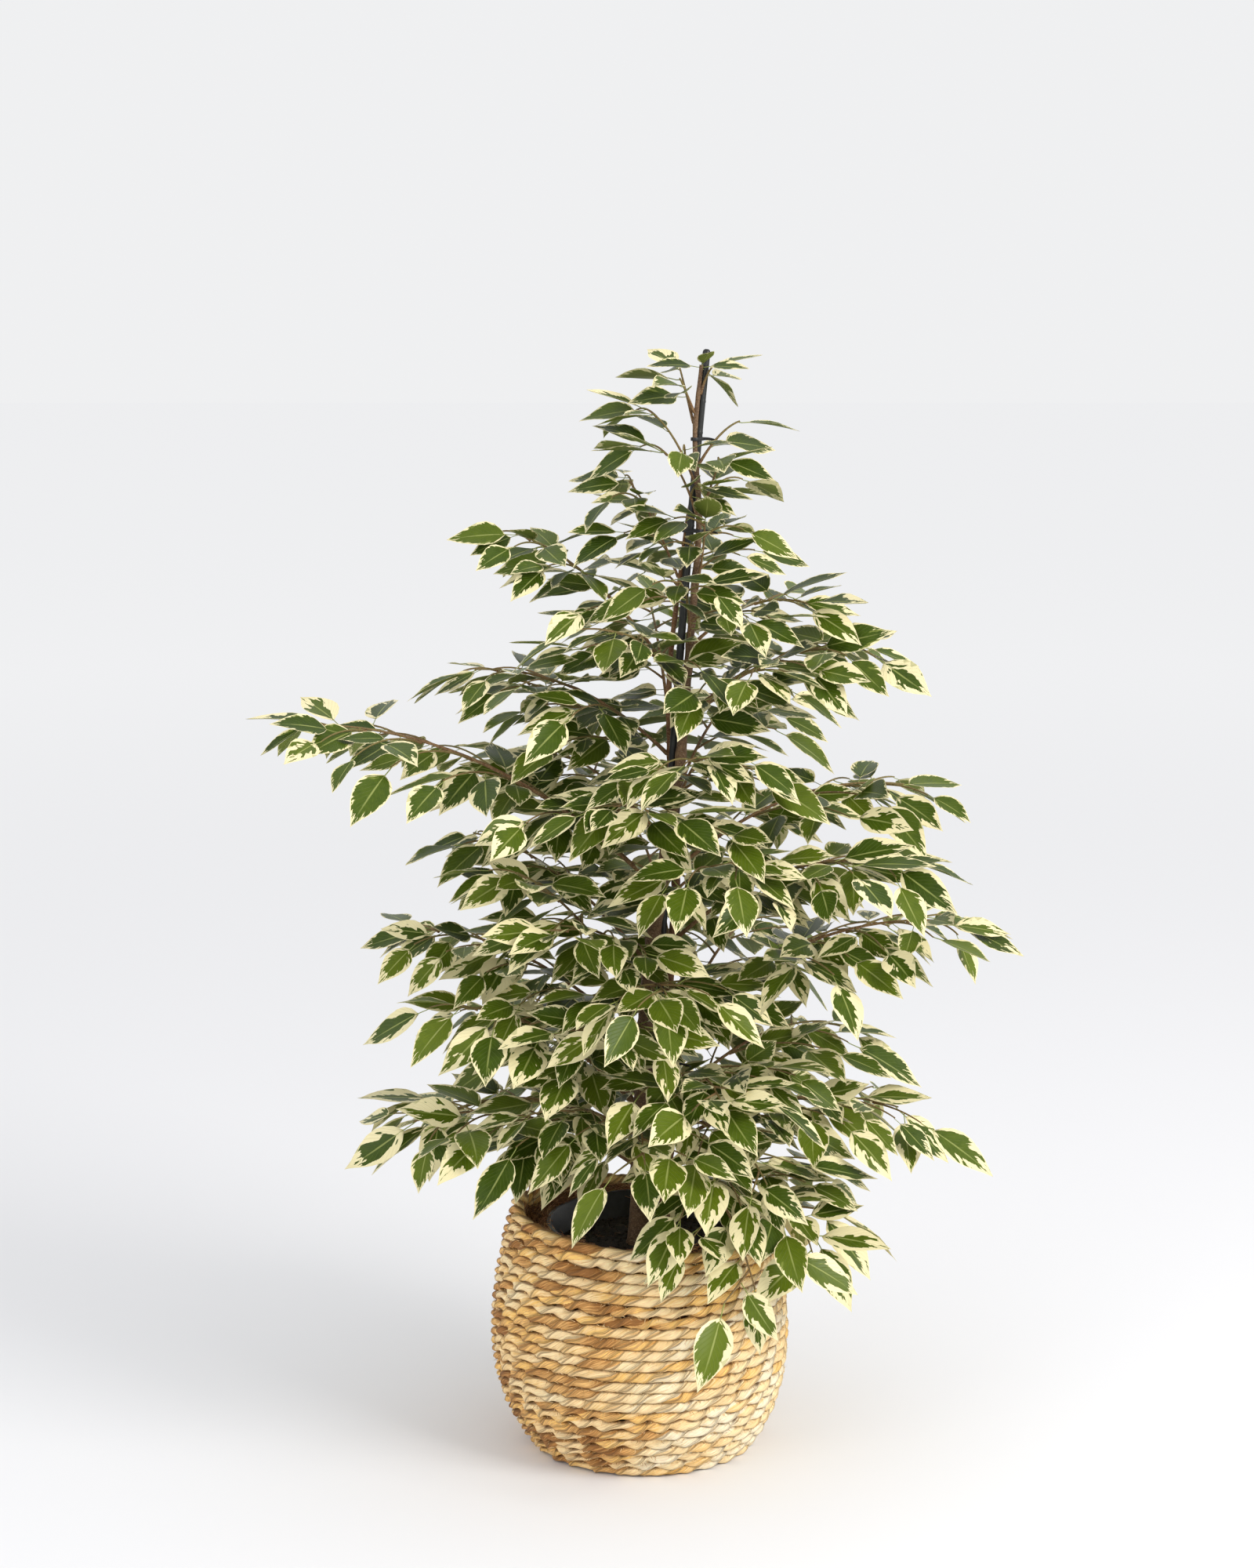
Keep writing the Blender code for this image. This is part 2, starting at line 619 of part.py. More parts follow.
class Shoot:
    """A twig as one smooth bend from its foot to its tip."""

    def __init__(self, foot, bend, tip, thick, thin, steps, root_way=None):
        self.foot = foot
        self.bend = bend
        self.tip = tip
        self.thick = thick
        self.thin = thin
        self.steps = steps
        self.root_way = root_way

    def point(self, share):
        """A point of the smooth bend, from 0 at the foot to 1 at the tip."""
        early = self.foot.lerp(self.bend, share)
        late = self.bend.lerp(self.tip, share)
        return early.lerp(late, share)

    def seat(self, share):
        """The middle of the twig's solid, which runs straight from step to step."""
        step = min(int(share * self.steps), self.steps - 1)
        start = self.point(step / self.steps)
        end = self.point((step + 1) / self.steps)
        return start.lerp(end, share * self.steps - step)

    def heading(self, share):
        """The way the twig runs there."""
        return (self.bend - self.foot).lerp(self.tip - self.bend, share).normalized()

    def radius(self, share):
        """Its radius there."""
        return self.thick + (self.thin - self.thick) * share

    def length(self):
        """Its length along the bend, near enough."""
        straight = (self.tip - self.foot).length
        return ((self.bend - self.foot).length + (self.tip - self.bend).length + straight) / 2

    def shape(self, sides=3, room=0.0):
        """The twig as a tube. room thickens it, but not at its foot, where it meets its stem."""
        shares = [step / self.steps for step in range(self.steps + 1)]
        path = [self.point(share) for share in shares]
        radii = [self.radius(share) + room * min(8 * share, 1) for share in shares]
        return tube(path, radii, sides, flat_root=self.root_way)


def main_shoot(fork, bearing, reach, rise):
    """The main twig of a branch: it leaves the nearer stem, climbs and arches over."""
    turn = math.radians(bearing)
    outward = Vector((math.cos(turn), math.sin(turn), 0))
    stems = [(main_line, main_radius)]
    if fork < SECOND_TOP - 0.03:
        stems.append((second_line, second_radius))
    axis = stake_line(fork)
    line, radius = max(stems, key=lambda stem: (stem[0](fork) - axis).dot(outward))
    foot = line(fork) + outward * (radius(fork) + 2 * GAP)
    reach -= LAST_LEAF
    tip = axis + outward * reach + UP * (rise + LAST_LEAF * LAST_DROP)
    climbs = ARCH_LEAST + ARCH_REACH * reach + ARCH_RISE * max(rise, 0)
    bend = foot + outward * reach * ARCH_OUT + UP * climbs
    thick = MAIN_TWIG_LEAST + MAIN_TWIG_REACH * reach
    return Shoot(foot, bend, tip, thick, MAIN_TWIG_TIP, MAIN_STEPS, root_way=outward)


def side_shoot(parent, share, side, length, turn, sag):
    """A side twig: it forks off at a slant, nearly level, and sags towards its tip."""
    along = parent.heading(share)
    level = along.cross(UP).normalized()
    slant = math.radians(SIDE_SLANT + turn)
    way = along * math.cos(slant) + level * side * math.sin(slant)
    way = (way + UP * SIDE_LIFT).normalized()
    foot = parent.seat(share)
    bend = foot + way * length * SIDE_BEND
    flat = Vector((way.x, way.y, 0)).normalized()
    tip = bend + (flat + UP * (SIDE_LIFT - sag)).normalized() * length * (1 - SIDE_BEND)
    return Shoot(foot, bend, tip, *SIDE_TWIG_RADII, SIDE_STEPS)


# Leaves


def leaf_frame(foot, heading, roll):
    """A matrix with the leaf's length along Y and its face, which seeks the light, towards Z."""
    along = heading.normalized()
    light = UP - Vector((0, 1, 0)) * LEAF_TO_LIGHT * (1 - max(along.y, 0))
    face = (light - along * light.dot(along)).normalized()
    across = along.cross(face)
    turn = Matrix((across, along, face)).transposed()
    turn = turn @ Matrix.Rotation(roll, 3, "Y")
    return Matrix.Translation(foot) @ turn.to_4x4()


def leaf_solid(length, room=0.0, with_petiole=True):
    """A folded blade on its petiole, the same triangles on both faces.

    Runs along +Y from its root, which is sunk in the twig. room thickens it on every side.
    """
    half = length * LEAF_WIDTH / 2 + room
    shoulder = half * LEAF_SHOULDER[0]
    stalk = PETIOLE_WIDTH / 2 + room
    root = -PETIOLE_SUNK if with_petiole else PETIOLE_LENGTH - BLADE_OVERLAP
    foot = PETIOLE_LENGTH
    widest = foot + LEAF_WIDEST * length
    narrowing = foot + LEAF_SHOULDER[1] * length
    lift = LEAF_FOLD * length / 2
    top = [Vector(point) for point in (
        (-stalk * PETIOLE_ROOT, root, 0.0),
        (stalk * PETIOLE_ROOT, root, 0.0),
        (stalk * PETIOLE_END, foot, 0.0),
        (half, widest, lift),
        (shoulder, narrowing, lift / 2),
        (0.0, foot + length + room, -lift),
        (-shoulder, narrowing, lift / 2),
        (-half, widest, lift),
        (-stalk * PETIOLE_END, foot, 0.0),
    )]
    face = [(0, 1, 2, 8), (2, 3, 4), (2, 4, 5), (8, 2, 5), (8, 5, 6), (8, 6, 7)]
    thick = LEAF_THICKNESS / 2 + room
    points = [point + UP * thick for point in top] + [point - UP * thick for point in top]
    below = len(top)
    faces = list(face)
    faces += [tuple(below + corner for corner in reversed(corners)) for corners in face]
    for corner in range(below):
        ahead = (corner + 1) % below
        faces.append((corner, below + corner, below + ahead, ahead))
    return points, faces


class Crowd:
    """What already stands in place, so that new growth is kept clear of it."""

    def __init__(self):
        self.members = []

    def add(self, owner, points, faces):
        """Note a shape as standing in place."""
        middle = sum(points, Vector()) / len(points)
        reach = max((point - middle).length for point in points)
        self.members.append((owner, middle, reach, BVHTree.FromPolygons(points, faces)))

    def blocks(self, points, faces, ignore=None):
        """Whether a shape would meet something, leaving out what one owner has in place."""
        middle = sum(points, Vector()) / len(points)
        reach = max((point - middle).length for point in points)
        tree = BVHTree.FromPolygons(points, faces)
        for owner, other, size, other_tree in self.members:
            near = (middle - other).length < reach + size
            if near and owner != ignore and tree.overlap(other_tree):
                return True
        return False


def placed(matrix, shape):
    """A shape moved to its place."""
    points, faces = shape
    return [matrix @ point for point in points], faces


def grow_shoots(number, branch, crowd):
    """The twigs of one branch, each turned aside where it would meet what is in place."""
    name, fork, bearing, reach, rise, pairs = branch
    draw = Random(1000 + number)
    shoots = []
    for turn in TURNS:
        main = main_shoot(fork, bearing + turn * 0.5, reach, rise)
        if not crowd.blocks(*main.shape(4, GUARD)):
            shoots.append(main)
            break
    if not shoots:
        return []
    count = 2 * pairs
    first, last = SIDE_SHARES
    for k in range(count):
        share = first + (last - first) * k / (count - 1) + draw.uniform(-SIDE_SHIFT, SIDE_SHIFT)
        length = SIDE_LENGTH[0] + SIDE_LENGTH[1] * reach * (1 + SIDE_SHIFT - share)
        length *= draw.uniform(*SIDE_VARIES)
        sag = draw.uniform(*SIDE_SAG)
        first_turn = draw.uniform(-SIDE_SWING, SIDE_SWING)
        for turn in TURNS[:5]:
            side = side_shoot(main, share, 1 if k % 2 else -1, length, first_turn + turn, sag)
            if not crowd.blocks(*side.shape(4, GUARD), ignore=name):
                shoots.append(side)
                crowd.add(name, *side.shape(4, GUARD))
                break
    crowd.add(name, *main.shape(4, GUARD))
    return shoots


def leaf_sites(number, shoot_number, shoot, fork):
    """Places for leaves along a shoot, on alternate sides, the last one at its tip."""
    draw = Random(100000 + 1000 * number + shoot_number)
    droop = DROOP_LOW + (DROOP_HIGH - DROOP_LOW) * math.sqrt(climb(fork))
    grown = LEAF_GROWN[0] + (LEAF_GROWN[1] - LEAF_GROWN[0]) * climb(fork)
    length = shoot.length()
    start = LEAF_START[min(shoot_number, 1)]
    spacing = LEAF_SPACING * (1 + LEAF_THINNING * climb(fork))
    count = max(int((length - start) / spacing), 1)
    sites = []
    for k in range(count + 1):
        at_tip = k == count
        share = 1.0 - TIP_INSET / length if at_tip else (start + k * spacing) / length
        along = shoot.heading(share)
        level = along.cross(UP).normalized()
        side = 1 if k % 2 else -1
        slant = math.radians(draw.uniform(*(TIP_SLANT if at_tip else LEAF_SLANT)))
        heading = along * math.cos(slant) + level * side * math.sin(slant)
        heading.z = heading.z * LEAF_FOLLOWS - droop * draw.uniform(*LEAF_DROOP)
        size = draw.uniform(*LEAF_LENGTH) * grown
        roll = math.radians(draw.uniform(-LEAF_ROLL, LEAF_ROLL))
        if at_tip or draw.random() > LEAF_MISSING:
            sites.append((shoot.seat(share), heading, roll, size, at_tip))
    return sites


def leaf_stands_clear(site, owner, crowd):
    """The first turn of a leaf at which it meets nothing, as its matrix, or None."""
    foot, heading, roll, size, at_tip = site
    for turn in TURNS:
        for lift in LEAF_LIFTS:
            way = heading.normalized() + UP * lift
            way.rotate(Matrix.Rotation(math.radians(turn), 3, "Z"))
            matrix = leaf_frame(foot, way, roll)
            whole = placed(matrix, leaf_solid(size, GUARD))
            blade = placed(matrix, leaf_solid(size, GUARD, with_petiole=False))
            if crowd.blocks(*whole, ignore=owner) or crowd.blocks(*blade):
                continue
            crowd.add(owner, *whole)
            return matrix
    return None


def obstacles():
    """What the branches grow round: the stems, the stake, its ties and the basket."""
    crowd = Crowd()
    for name, line, radius, top in STANDING:
        crowd.add(name, *standing_shape(line, lambda height, r=radius: r(height) + GAP, top, 24, 6))
    crowd.add("basket", *basket_guard())
    for height in TIE_HEIGHTS:
        ends = [stake_line(height) - UP * TIE_WIDTH, stake_line(height) + UP * TIE_WIDTH]
        crowd.add("tie", *tube(ends, [STAKE_RADIUS + 2 * main_radius(height) + TIE_ROOM] * 2, 8))
        crowd.add("tie", *tube(tie_tail(height), [radius + GUARD for radius in TAIL_RADII], 4))
    return crowd


def grow_sprays():
    """For each branch, its twigs that are modelled and the places of their leaves.

    All twigs are grown first, so that leaves are turned out of the way of every twig.
    """
    crowd = obstacles()
    grown = [grow_shoots(number, branch, crowd) for number, branch in enumerate(BRANCHES)]
    sprays = []
    for number, (branch, shoots) in enumerate(zip(BRANCHES, grown)):
        name, fork = branch[:2]
        twigs = []
        leaves = []
        for shoot_number, shoot in enumerate(shoots):
            is_main = shoot_number == 0
            if not is_main and shoot_number % SOLID_TWIGS != 1:
                continue
            twigs.append(shoot)
            for k, site in enumerate(leaf_sites(number, shoot_number, shoot, fork)):
                at_tip = site[-1]
                if not at_tip and not (is_main and k % SOLID_LEAVES == SOLID_LEAVES // 2):
                    continue
                matrix = leaf_stands_clear(site, name, crowd)
                if matrix:
                    leaves.append((matrix, site[3]))
        sprays.append((name, twigs, leaves))
    return sprays


def make_sprays(finish):
    """Every branch as one solid: its main twig with its side twigs and leaves joined to it."""
    for name, twigs, leaves in grow_sprays():
        if not twigs:
            continue
        body = mesh_object("spray_" + name, *twigs[0].shape(), finish)
        parts = [mesh_object("side_twig", *twig.shape()) for twig in twigs[1:]]
        parts += [mesh_object("leaf", *placed(matrix, leaf_solid(size))) for matrix, size in leaves]
        boolean_with(body, parts, "UNION")


def basket_guard():
    """The basket and pot as one filled shape, for keeping leaves out of them."""
    room = 2 * GUARD
    steps = 8
    heights = [BASKET_RIM_HEIGHT * k / steps for k in range(steps + 1)]
    profile = [(0, 0)] + [(basket_radius(height) + room, height) for height in heights]
    profile += [(BASKET_RIM_RADIUS + room, BASKET_RIM_HEIGHT + room)]
    profile += [(POT_TOP_RADIUS, BASKET_RIM_HEIGHT + room)]
    profile += [(POT_TOP_RADIUS - SOIL_ROOM, SOIL_TOP + SOIL_ROOM), (0, SOIL_TOP + SOIL_ROOM)]
    return turned(profile, BASKET_SEGMENTS, basket_place)


def main():
    clear_scene()
    straw = material("straw_rope", (0.66, 0.48, 0.25), 0.75)
    black = material("black_plastic", (0.02, 0.02, 0.022), 0.45)
    earth = material("potting_soil", (0.035, 0.022, 0.014), 0.95)
    fibre = material("coir_fibre", (0.30, 0.14, 0.07), 0.9)
    bark = material("stem_bark", (0.20, 0.12, 0.06), 0.7)
    red_bark = material("young_bark", (0.30, 0.15, 0.07), 0.65)
    stake_finish = material("stake_black", (0.015, 0.015, 0.016), 0.4)
    tie_finish = material("tie_black", (0.012, 0.012, 0.013), 0.5)
    leaf = material("leaf_green", (0.07, 0.15, 0.03), 0.4)
    make_basket(straw)
    make_nursery_pot(black)
    make_soil(earth)
    make_packing(fibre)
    for (name, line, radius, top), finish, rings, sides in zip(
            STANDING, (bark, red_bark, stake_finish), (18, 16, 9), (7, 6, 6)):
        mesh_object(name, *standing_shape(line, radius, top, rings, sides), finish)
    for number, height in enumerate(TIE_HEIGHTS):
        make_tie("tie_%d" % (number + 1), height, tie_finish)
    make_sprays(leaf)


main()
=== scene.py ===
"""The looks of a variegated weeping fig, in its nursery pot and its rope basket.

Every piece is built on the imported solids: metres, +Z up, the front facing -Y.
"""

import json
import math
from random import Random

import bmesh
import bpy
from mathutils import Matrix, Vector
from mathutils.bvhtree import BVHTree

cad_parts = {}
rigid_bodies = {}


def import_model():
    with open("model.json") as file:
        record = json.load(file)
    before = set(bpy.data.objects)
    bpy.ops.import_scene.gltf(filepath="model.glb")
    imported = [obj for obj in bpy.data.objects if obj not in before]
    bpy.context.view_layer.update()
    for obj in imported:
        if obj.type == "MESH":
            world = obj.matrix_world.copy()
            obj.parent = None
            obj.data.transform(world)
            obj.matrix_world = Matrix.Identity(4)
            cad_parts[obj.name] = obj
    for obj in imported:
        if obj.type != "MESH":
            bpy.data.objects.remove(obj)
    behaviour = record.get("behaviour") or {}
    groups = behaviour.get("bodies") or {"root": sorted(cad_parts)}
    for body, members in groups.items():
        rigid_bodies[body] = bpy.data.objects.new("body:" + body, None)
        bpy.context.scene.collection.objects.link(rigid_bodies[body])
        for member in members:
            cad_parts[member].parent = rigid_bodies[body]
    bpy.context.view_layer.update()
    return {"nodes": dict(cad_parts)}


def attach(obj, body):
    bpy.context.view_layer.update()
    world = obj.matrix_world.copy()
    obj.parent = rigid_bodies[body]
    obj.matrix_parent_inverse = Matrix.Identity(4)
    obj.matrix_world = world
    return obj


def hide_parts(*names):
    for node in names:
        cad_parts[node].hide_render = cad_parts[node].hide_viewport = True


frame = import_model()
UP = Vector((0, 0, 1))


# Basket
# One long rope of twisted straw, coiled row on row by hand, each row sewn to the one below.
# The rope has two strands, and each turn of a strand shows as a slanting, leaf-shaped length.

BASKET_FOOT_RADIUS = 0.110
BASKET_WIDE_RADIUS = 0.148
BASKET_WIDE_HEIGHT = 0.115
BASKET_RIM_RADIUS = 0.131
BASKET_RIM_HEIGHT = 0.237
BASKET_RIM_TILT = 0.010
BASKET_FLARE = 2.3
BASKET_NECK = 1.8
BASKET_BULGE = 0.004
BASKET_OVAL = 0.010
BASKET_LOBES = 0.006
ROPE_ROWS = 23
ROPE_DEPTH = 0.0049           # from the wall's outer face in to the middle of the rope
ROPE_POINT_SPACING = 0.0034
ROW_FINENESS = 400            # steps in which the wall is measured along its curve
SLOPE_STEP = 0.001            # over which the wall's own directions are measured
LOWER_ROWS = 12               # rows in the lower of the wall's two pieces
BASE_ROW_NUMBER = 50          # the rows under the basket are numbered from here
TWIST_LENGTH = 0.052          # in which the two strands turn round each other once
TWIST_WANDER = 3.4            # radians by which a turn may come early or late
ROW_TURN = 2.399              # radians by which each row's twist starts after the one below
STRAND_REACH = 0.0021         # from the middle of the rope to the middle of a strand
STRAND_WIDTH = 0.52           # from a strand's middle to its edge, as a share of a row
STRAND_DEPTH = 0.0032
STRAND_SIDES = 10
PICK_SPREAD = (43758.5453, 24634.6345)      # so large that the last digits come out at random
LOWEST_STRAW = 0.0002         # where the floor presses the rope flat
# Painted shade, laid into the creases between the rows and along the edges where the two strands meet.
CREASE_SHADE = (0.17, 0.080, 0.024)
STRAW_COLOURS = (
    (0.00, (0.33, 0.140, 0.035)),
    (0.12, (0.58, 0.290, 0.085)),
    (0.27, (0.82, 0.490, 0.180)),
    (0.36, (1.00, 0.610, 0.170)),
    (0.46, (0.94, 0.650, 0.300)),
    (0.66, (1.00, 0.750, 0.410)),
    (0.80, (0.96, 0.760, 0.430)),
    (0.94, (1.00, 0.870, 0.620)),
)


def basket_radius(height):
    """Outer radius of the basket at a height: it bulges below the middle and draws in to the rim."""
    if height < BASKET_WIDE_HEIGHT:
        drop = (BASKET_WIDE_HEIGHT - height) / BASKET_WIDE_HEIGHT
        return BASKET_WIDE_RADIUS - (BASKET_WIDE_RADIUS - BASKET_FOOT_RADIUS) * drop ** BASKET_FLARE
    rise = (height - BASKET_WIDE_HEIGHT) / (BASKET_RIM_HEIGHT - BASKET_WIDE_HEIGHT)
    return BASKET_WIDE_RADIUS - (BASKET_WIDE_RADIUS - BASKET_RIM_RADIUS) * rise ** BASKET_NECK


def basket_place(radius, height, angle):
    """Where a point of the basket lies: handmade, it tilts and is a little out of round."""
    share = height / BASKET_RIM_HEIGHT
    oval = BASKET_OVAL * math.cos(2 * angle + 1.0)
    lobes = BASKET_LOBES * math.cos(3 * angle + 0.6)
    uneven = 1 + share * (oval + lobes)
    side = radius * uneven * math.cos(angle)
    depth = radius * uneven * math.sin(angle)
    bulge = -BASKET_BULGE * math.sin(math.pi * share) * radius / BASKET_WIDE_RADIUS
    tilt = BASKET_RIM_TILT * share ** 2 * side / BASKET_RIM_RADIUS
    return Vector((side + bulge, depth, height - tilt))


def rope_heights(count):
    """Heights that divide the wall into this many rows of the same width along its curve."""
    heights = [BASKET_RIM_HEIGHT * k / ROW_FINENESS for k in range(ROW_FINENESS + 1)]
    lengths = [0.0]
    for low, high in zip(heights, heights[1:]):
        lengths.append(lengths[-1] + math.hypot(high - low, basket_radius(high) - basket_radius(low)))
    found = [heights[0]]
    for row in range(1, count):
        wanted = lengths[-1] * row / count
        found.append(next(height for height, length in zip(heights, lengths) if length >= wanted))
    return found + [heights[-1]]


class Reading:
    """A number that a node gives, ready to go on into sums."""

    def __init__(self, tree, socket):
        self.tree = tree
        self.socket = socket

    def calc(self, operation, *others):
        """A sum that starts with this number."""
        node = self.tree.nodes.new("ShaderNodeMath")
        node.operation = operation
        for socket, value in zip(node.inputs, (self, *others)):
            feed(self.tree, socket, value)
        return Reading(self.tree, node.outputs[0])

    def __add__(self, other):
        return self.calc("ADD", other)

    def __sub__(self, other):
        return self.calc("SUBTRACT", other)

    def __mul__(self, other):
        return self.calc("MULTIPLY", other)

    def __truediv__(self, other):
        return self.calc("DIVIDE", other)

    def under(self, number):
        """number minus this."""
        return (self * -1.0) + number

    def rise(self, low, high):
        """0 up to low, 1 from high on, smooth between: falling where low is the greater."""
        node = self.tree.nodes.new("ShaderNodeMapRange")
        node.interpolation_type = "SMOOTHSTEP"
        for key, value in (("Value", self), ("From Min", low), ("From Max", high)):
            feed(self.tree, node.inputs[key], value)
        return Reading(self.tree, node.outputs[0])


def feed(tree, socket, value):
    """Put a value, a node's output or a reading into a socket."""
    if isinstance(value, Reading):
        value = value.socket
    if isinstance(value, bpy.types.NodeSocket):
        tree.links.new(value, socket)
    else:
        socket.default_value = value


def add(tree, kind, inputs=None, **settings):
    """Add a node with these settings, and fill its inputs by name or by number."""
    node = tree.nodes.new(kind)
    for name, value in settings.items():
        setattr(node, name, value)
    for key, value in (inputs or {}).items():
        if isinstance(key, int):
            socket = node.inputs[key]
        else:
            socket = next(each for each in node.inputs if each.name == key and each.enabled)
        feed(tree, socket, value)
    return node


def out(node, name=0):
    """A node's output as a reading, by name or by number."""
    if isinstance(name, int):
        return Reading(node.id_data, node.outputs[name])
    socket = next(each for each in node.outputs if each.name == name and each.enabled)
    return Reading(node.id_data, socket)


def vector(tree, operation, first, *others):
    """The result of a sum with vectors."""
    node = add(tree, "ShaderNodeVectorMath", operation=operation)
    feed(tree, node.inputs[0], first)
    if operation == "SCALE":
        feed(tree, node.inputs["Scale"], others[0])
    else:
        for socket, value in zip(node.inputs[1:], others):
            feed(tree, socket, value)
    gives_number = operation in ("DOT_PRODUCT", "LENGTH")
    return Reading(tree, node.outputs["Value" if gives_number else "Vector"])


def xyz(tree, x=0.0, y=0.0, z=0.0):
    """A vector from its three parts."""
    return out(add(tree, "ShaderNodeCombineXYZ", {0: x, 1: y, 2: z}))


def part_of(tree, place, axis):
    """One part of a vector: 0 for X, 1 for Y, 2 for Z."""
    return out(add(tree, "ShaderNodeSeparateXYZ", {0: place}), axis)


def noise(tree, place, scale, detail=2.0, roughness=0.5, distortion=0.0):
    """Soft noise from about 0.25 to 0.75 at a place."""
    return out(add(tree, "ShaderNodeTexNoise", {
        "Vector": place, "Scale": scale, "Detail": detail, "Roughness": roughness,
        "Distortion": distortion}), 0)


def ramp(tree, reading, stops):
    """A colour picked by a number from 0 to 1."""
    node = add(tree, "ShaderNodeValToRGB", {0: reading})
    elements = node.color_ramp.elements
    while len(elements) < len(stops):
        elements.new(0.5)
    for element, (place, colour) in zip(elements, stops):
        element.position = place
        element.color = (*colour, 1.0)
    return Reading(tree, node.outputs[0])


def blend_colours(tree, share, low, high, mode="MIX"):
    """From the low colour at share 0 to the high one at 1."""
    node = add(tree, "ShaderNodeMix", data_type="RGBA", blend_type=mode)
    for index, value in ((0, share), (6, low), (7, high)):
        if isinstance(value, tuple):
            value = (*value, 1.0)
        feed(tree, node.inputs[index], value)
    return Reading(tree, node.outputs[2])


def new_material(name):
    """A material with a Principled shader. Gives the material, its tree and its shader."""
    made = bpy.data.materials.new(name)
    made.use_nodes = True
    return made, made.node_tree, made.node_tree.nodes["Principled BSDF"]


def object_place(tree):
    """Object coordinates."""
    return Reading(tree, add(tree, "ShaderNodeTexCoord").outputs["Object"])


def attribute(tree, name):
    """An attribute of the piece, in a material."""
    return Reading(tree, add(tree, "ShaderNodeAttribute", attribute_name=name).outputs["Fac"])


def bump(tree, height, distance, shader):
    """Raise the surface by this height times the distance."""
    node = add(tree, "ShaderNodeBump", {"Height": height, "Distance": distance, "Strength": 1.0})
    feed(tree, shader.inputs["Normal"], node.outputs[0])


def geometry_tree(name, *numbers):
    """A Geometry Nodes tree, its incoming geometry, and its named number inputs."""
    tree = bpy.data.node_groups.new(name, "GeometryNodeTree")
    tree.interface.new_socket("Geometry", in_out="INPUT", socket_type="NodeSocketGeometry")
    for label in numbers:
        tree.interface.new_socket(label, in_out="INPUT", socket_type="NodeSocketFloat")
    tree.interface.new_socket("Geometry", in_out="OUTPUT", socket_type="NodeSocketGeometry")
    start = tree.nodes.new("NodeGroupInput")
    return tree, start.outputs[0], [Reading(tree, socket) for socket in start.outputs[1:-1]]


def finish_tree(tree, geometry, finish, smooth=True):
    """End a tree: make everything real, shade it and give it its material."""
    real = add(tree, "GeometryNodeRealizeInstances", {0: geometry})
    shade = add(tree, "GeometryNodeSetShadeSmooth", {
        "Geometry": real.outputs[0], "Shade Smooth": smooth})
    painted = add(tree, "GeometryNodeSetMaterial", {"Geometry": shade.outputs[0], "Material": finish})
    end = tree.nodes.new("NodeGroupOutput")
    tree.links.new(painted.outputs[0], end.inputs[0])


def stored(tree, geometry, name, value, kind="FLOAT", domain="POINT"):
    """Keep a value on the geometry under a name."""
    node = add(tree, "GeometryNodeStoreNamedAttribute",
               {"Geometry": geometry, "Name": name}, data_type=kind, domain=domain)
    feed(tree, next(each for each in node.inputs if each.name == "Value" and each.enabled), value)
    return node.outputs[0]


def read(tree, name, kind="FLOAT"):
    """An attribute of the geometry, in a Geometry Nodes tree."""
    node = add(tree, "GeometryNodeInputNamedAttribute", {"Name": name}, data_type=kind)
    return out(node, "Attribute")


def position(tree):
    """Where each point is, in a Geometry Nodes tree."""
    return out(add(tree, "GeometryNodeInputPosition"))


def moved(tree, geometry, offset):
    """The geometry with each of its points moved."""
    return add(tree, "GeometryNodeSetPosition", {"Geometry": geometry, "Offset": offset}).outputs[0]


def circle(tree, sides):
    """A circle of radius 1, to be carried along a curve."""
    node = add(tree, "GeometryNodeCurvePrimitiveCircle", {"Resolution": sides, "Radius": 1.0})
    return node.outputs[0]


def mesh_of(name, points, edges=(), faces=(), attributes=()):
    """An object at the origin. attributes are (name, kind, one value for each point)."""
    mesh = bpy.data.meshes.new(name)
    mesh.from_pydata([tuple(point) for point in points], list(edges), list(faces))
    for label, kind, values in attributes:
        layer = mesh.attributes.new(label, kind, "POINT")
        key = "vector" if kind == "FLOAT_VECTOR" else "value"
        for item, value in zip(layer.data, values):
            setattr(item, key, value)
    made = bpy.data.objects.new(name, mesh)
    bpy.context.scene.collection.objects.link(made)
    return made


def grown_from(source, name, tree, **numbers):
    """Run a tree on an object, and keep the result as a plain mesh piece in its place."""
    step = source.modifiers.new(name, "NODES")
    step.node_group = tree
    for item in tree.interface.items_tree:
        key = item.name.replace(" ", "_").lower()
        if item.in_out == "INPUT" and key in numbers:
            step[item.identifier] = numbers[key]
    graph = bpy.context.evaluated_depsgraph_get()
    mesh = bpy.data.meshes.new_from_object(source.evaluated_get(graph))
    mesh.name = name
    made = bpy.data.objects.new(name, mesh)
    bpy.context.scene.collection.objects.link(made)
    bpy.data.objects.remove(source, do_unlink=True)
    return made


def rope_ring(radius, height, flat=False):
    """Points along the middle of one row, with the ways out of the wall and up along it.

    Each also has the row's own width there, as a share of the even one: the tilt of the rim
    spreads the rows on the high side and draws them together on the low side.
    """
    count = int(math.tau * radius / ROPE_POINT_SPACING)
    points, outwards, upwards, widths = [], [], [], []
    step = SLOPE_STEP
    for k in range(count):
        angle = math.tau * k / count
        here = basket_place(radius, height, angle)
        if flat:
            outward = -UP
            upward = Vector((math.cos(angle), math.sin(angle), 0))
            widths.append(1.0)
        else:
            before, after = (basket_place(radius, height, angle + way) for way in (-step, step))
            ahead = after - before
            wide_below, wide_above = basket_radius(height - step), basket_radius(height + step)
            upward = (basket_place(wide_above, height + step, angle)
                      - basket_place(wide_below, height - step, angle))
            even = math.hypot(2 * step, wide_above - wide_below)
            widths.append(upward.length / even)
            upward.normalize()
            outward = ahead.cross(upward).normalized()
            here = basket_place(basket_radius(height), height, angle) - outward * ROPE_DEPTH
        points.append(here)
        outwards.append(outward)
        upwards.append(upward)
    return points, outwards, upwards, widths


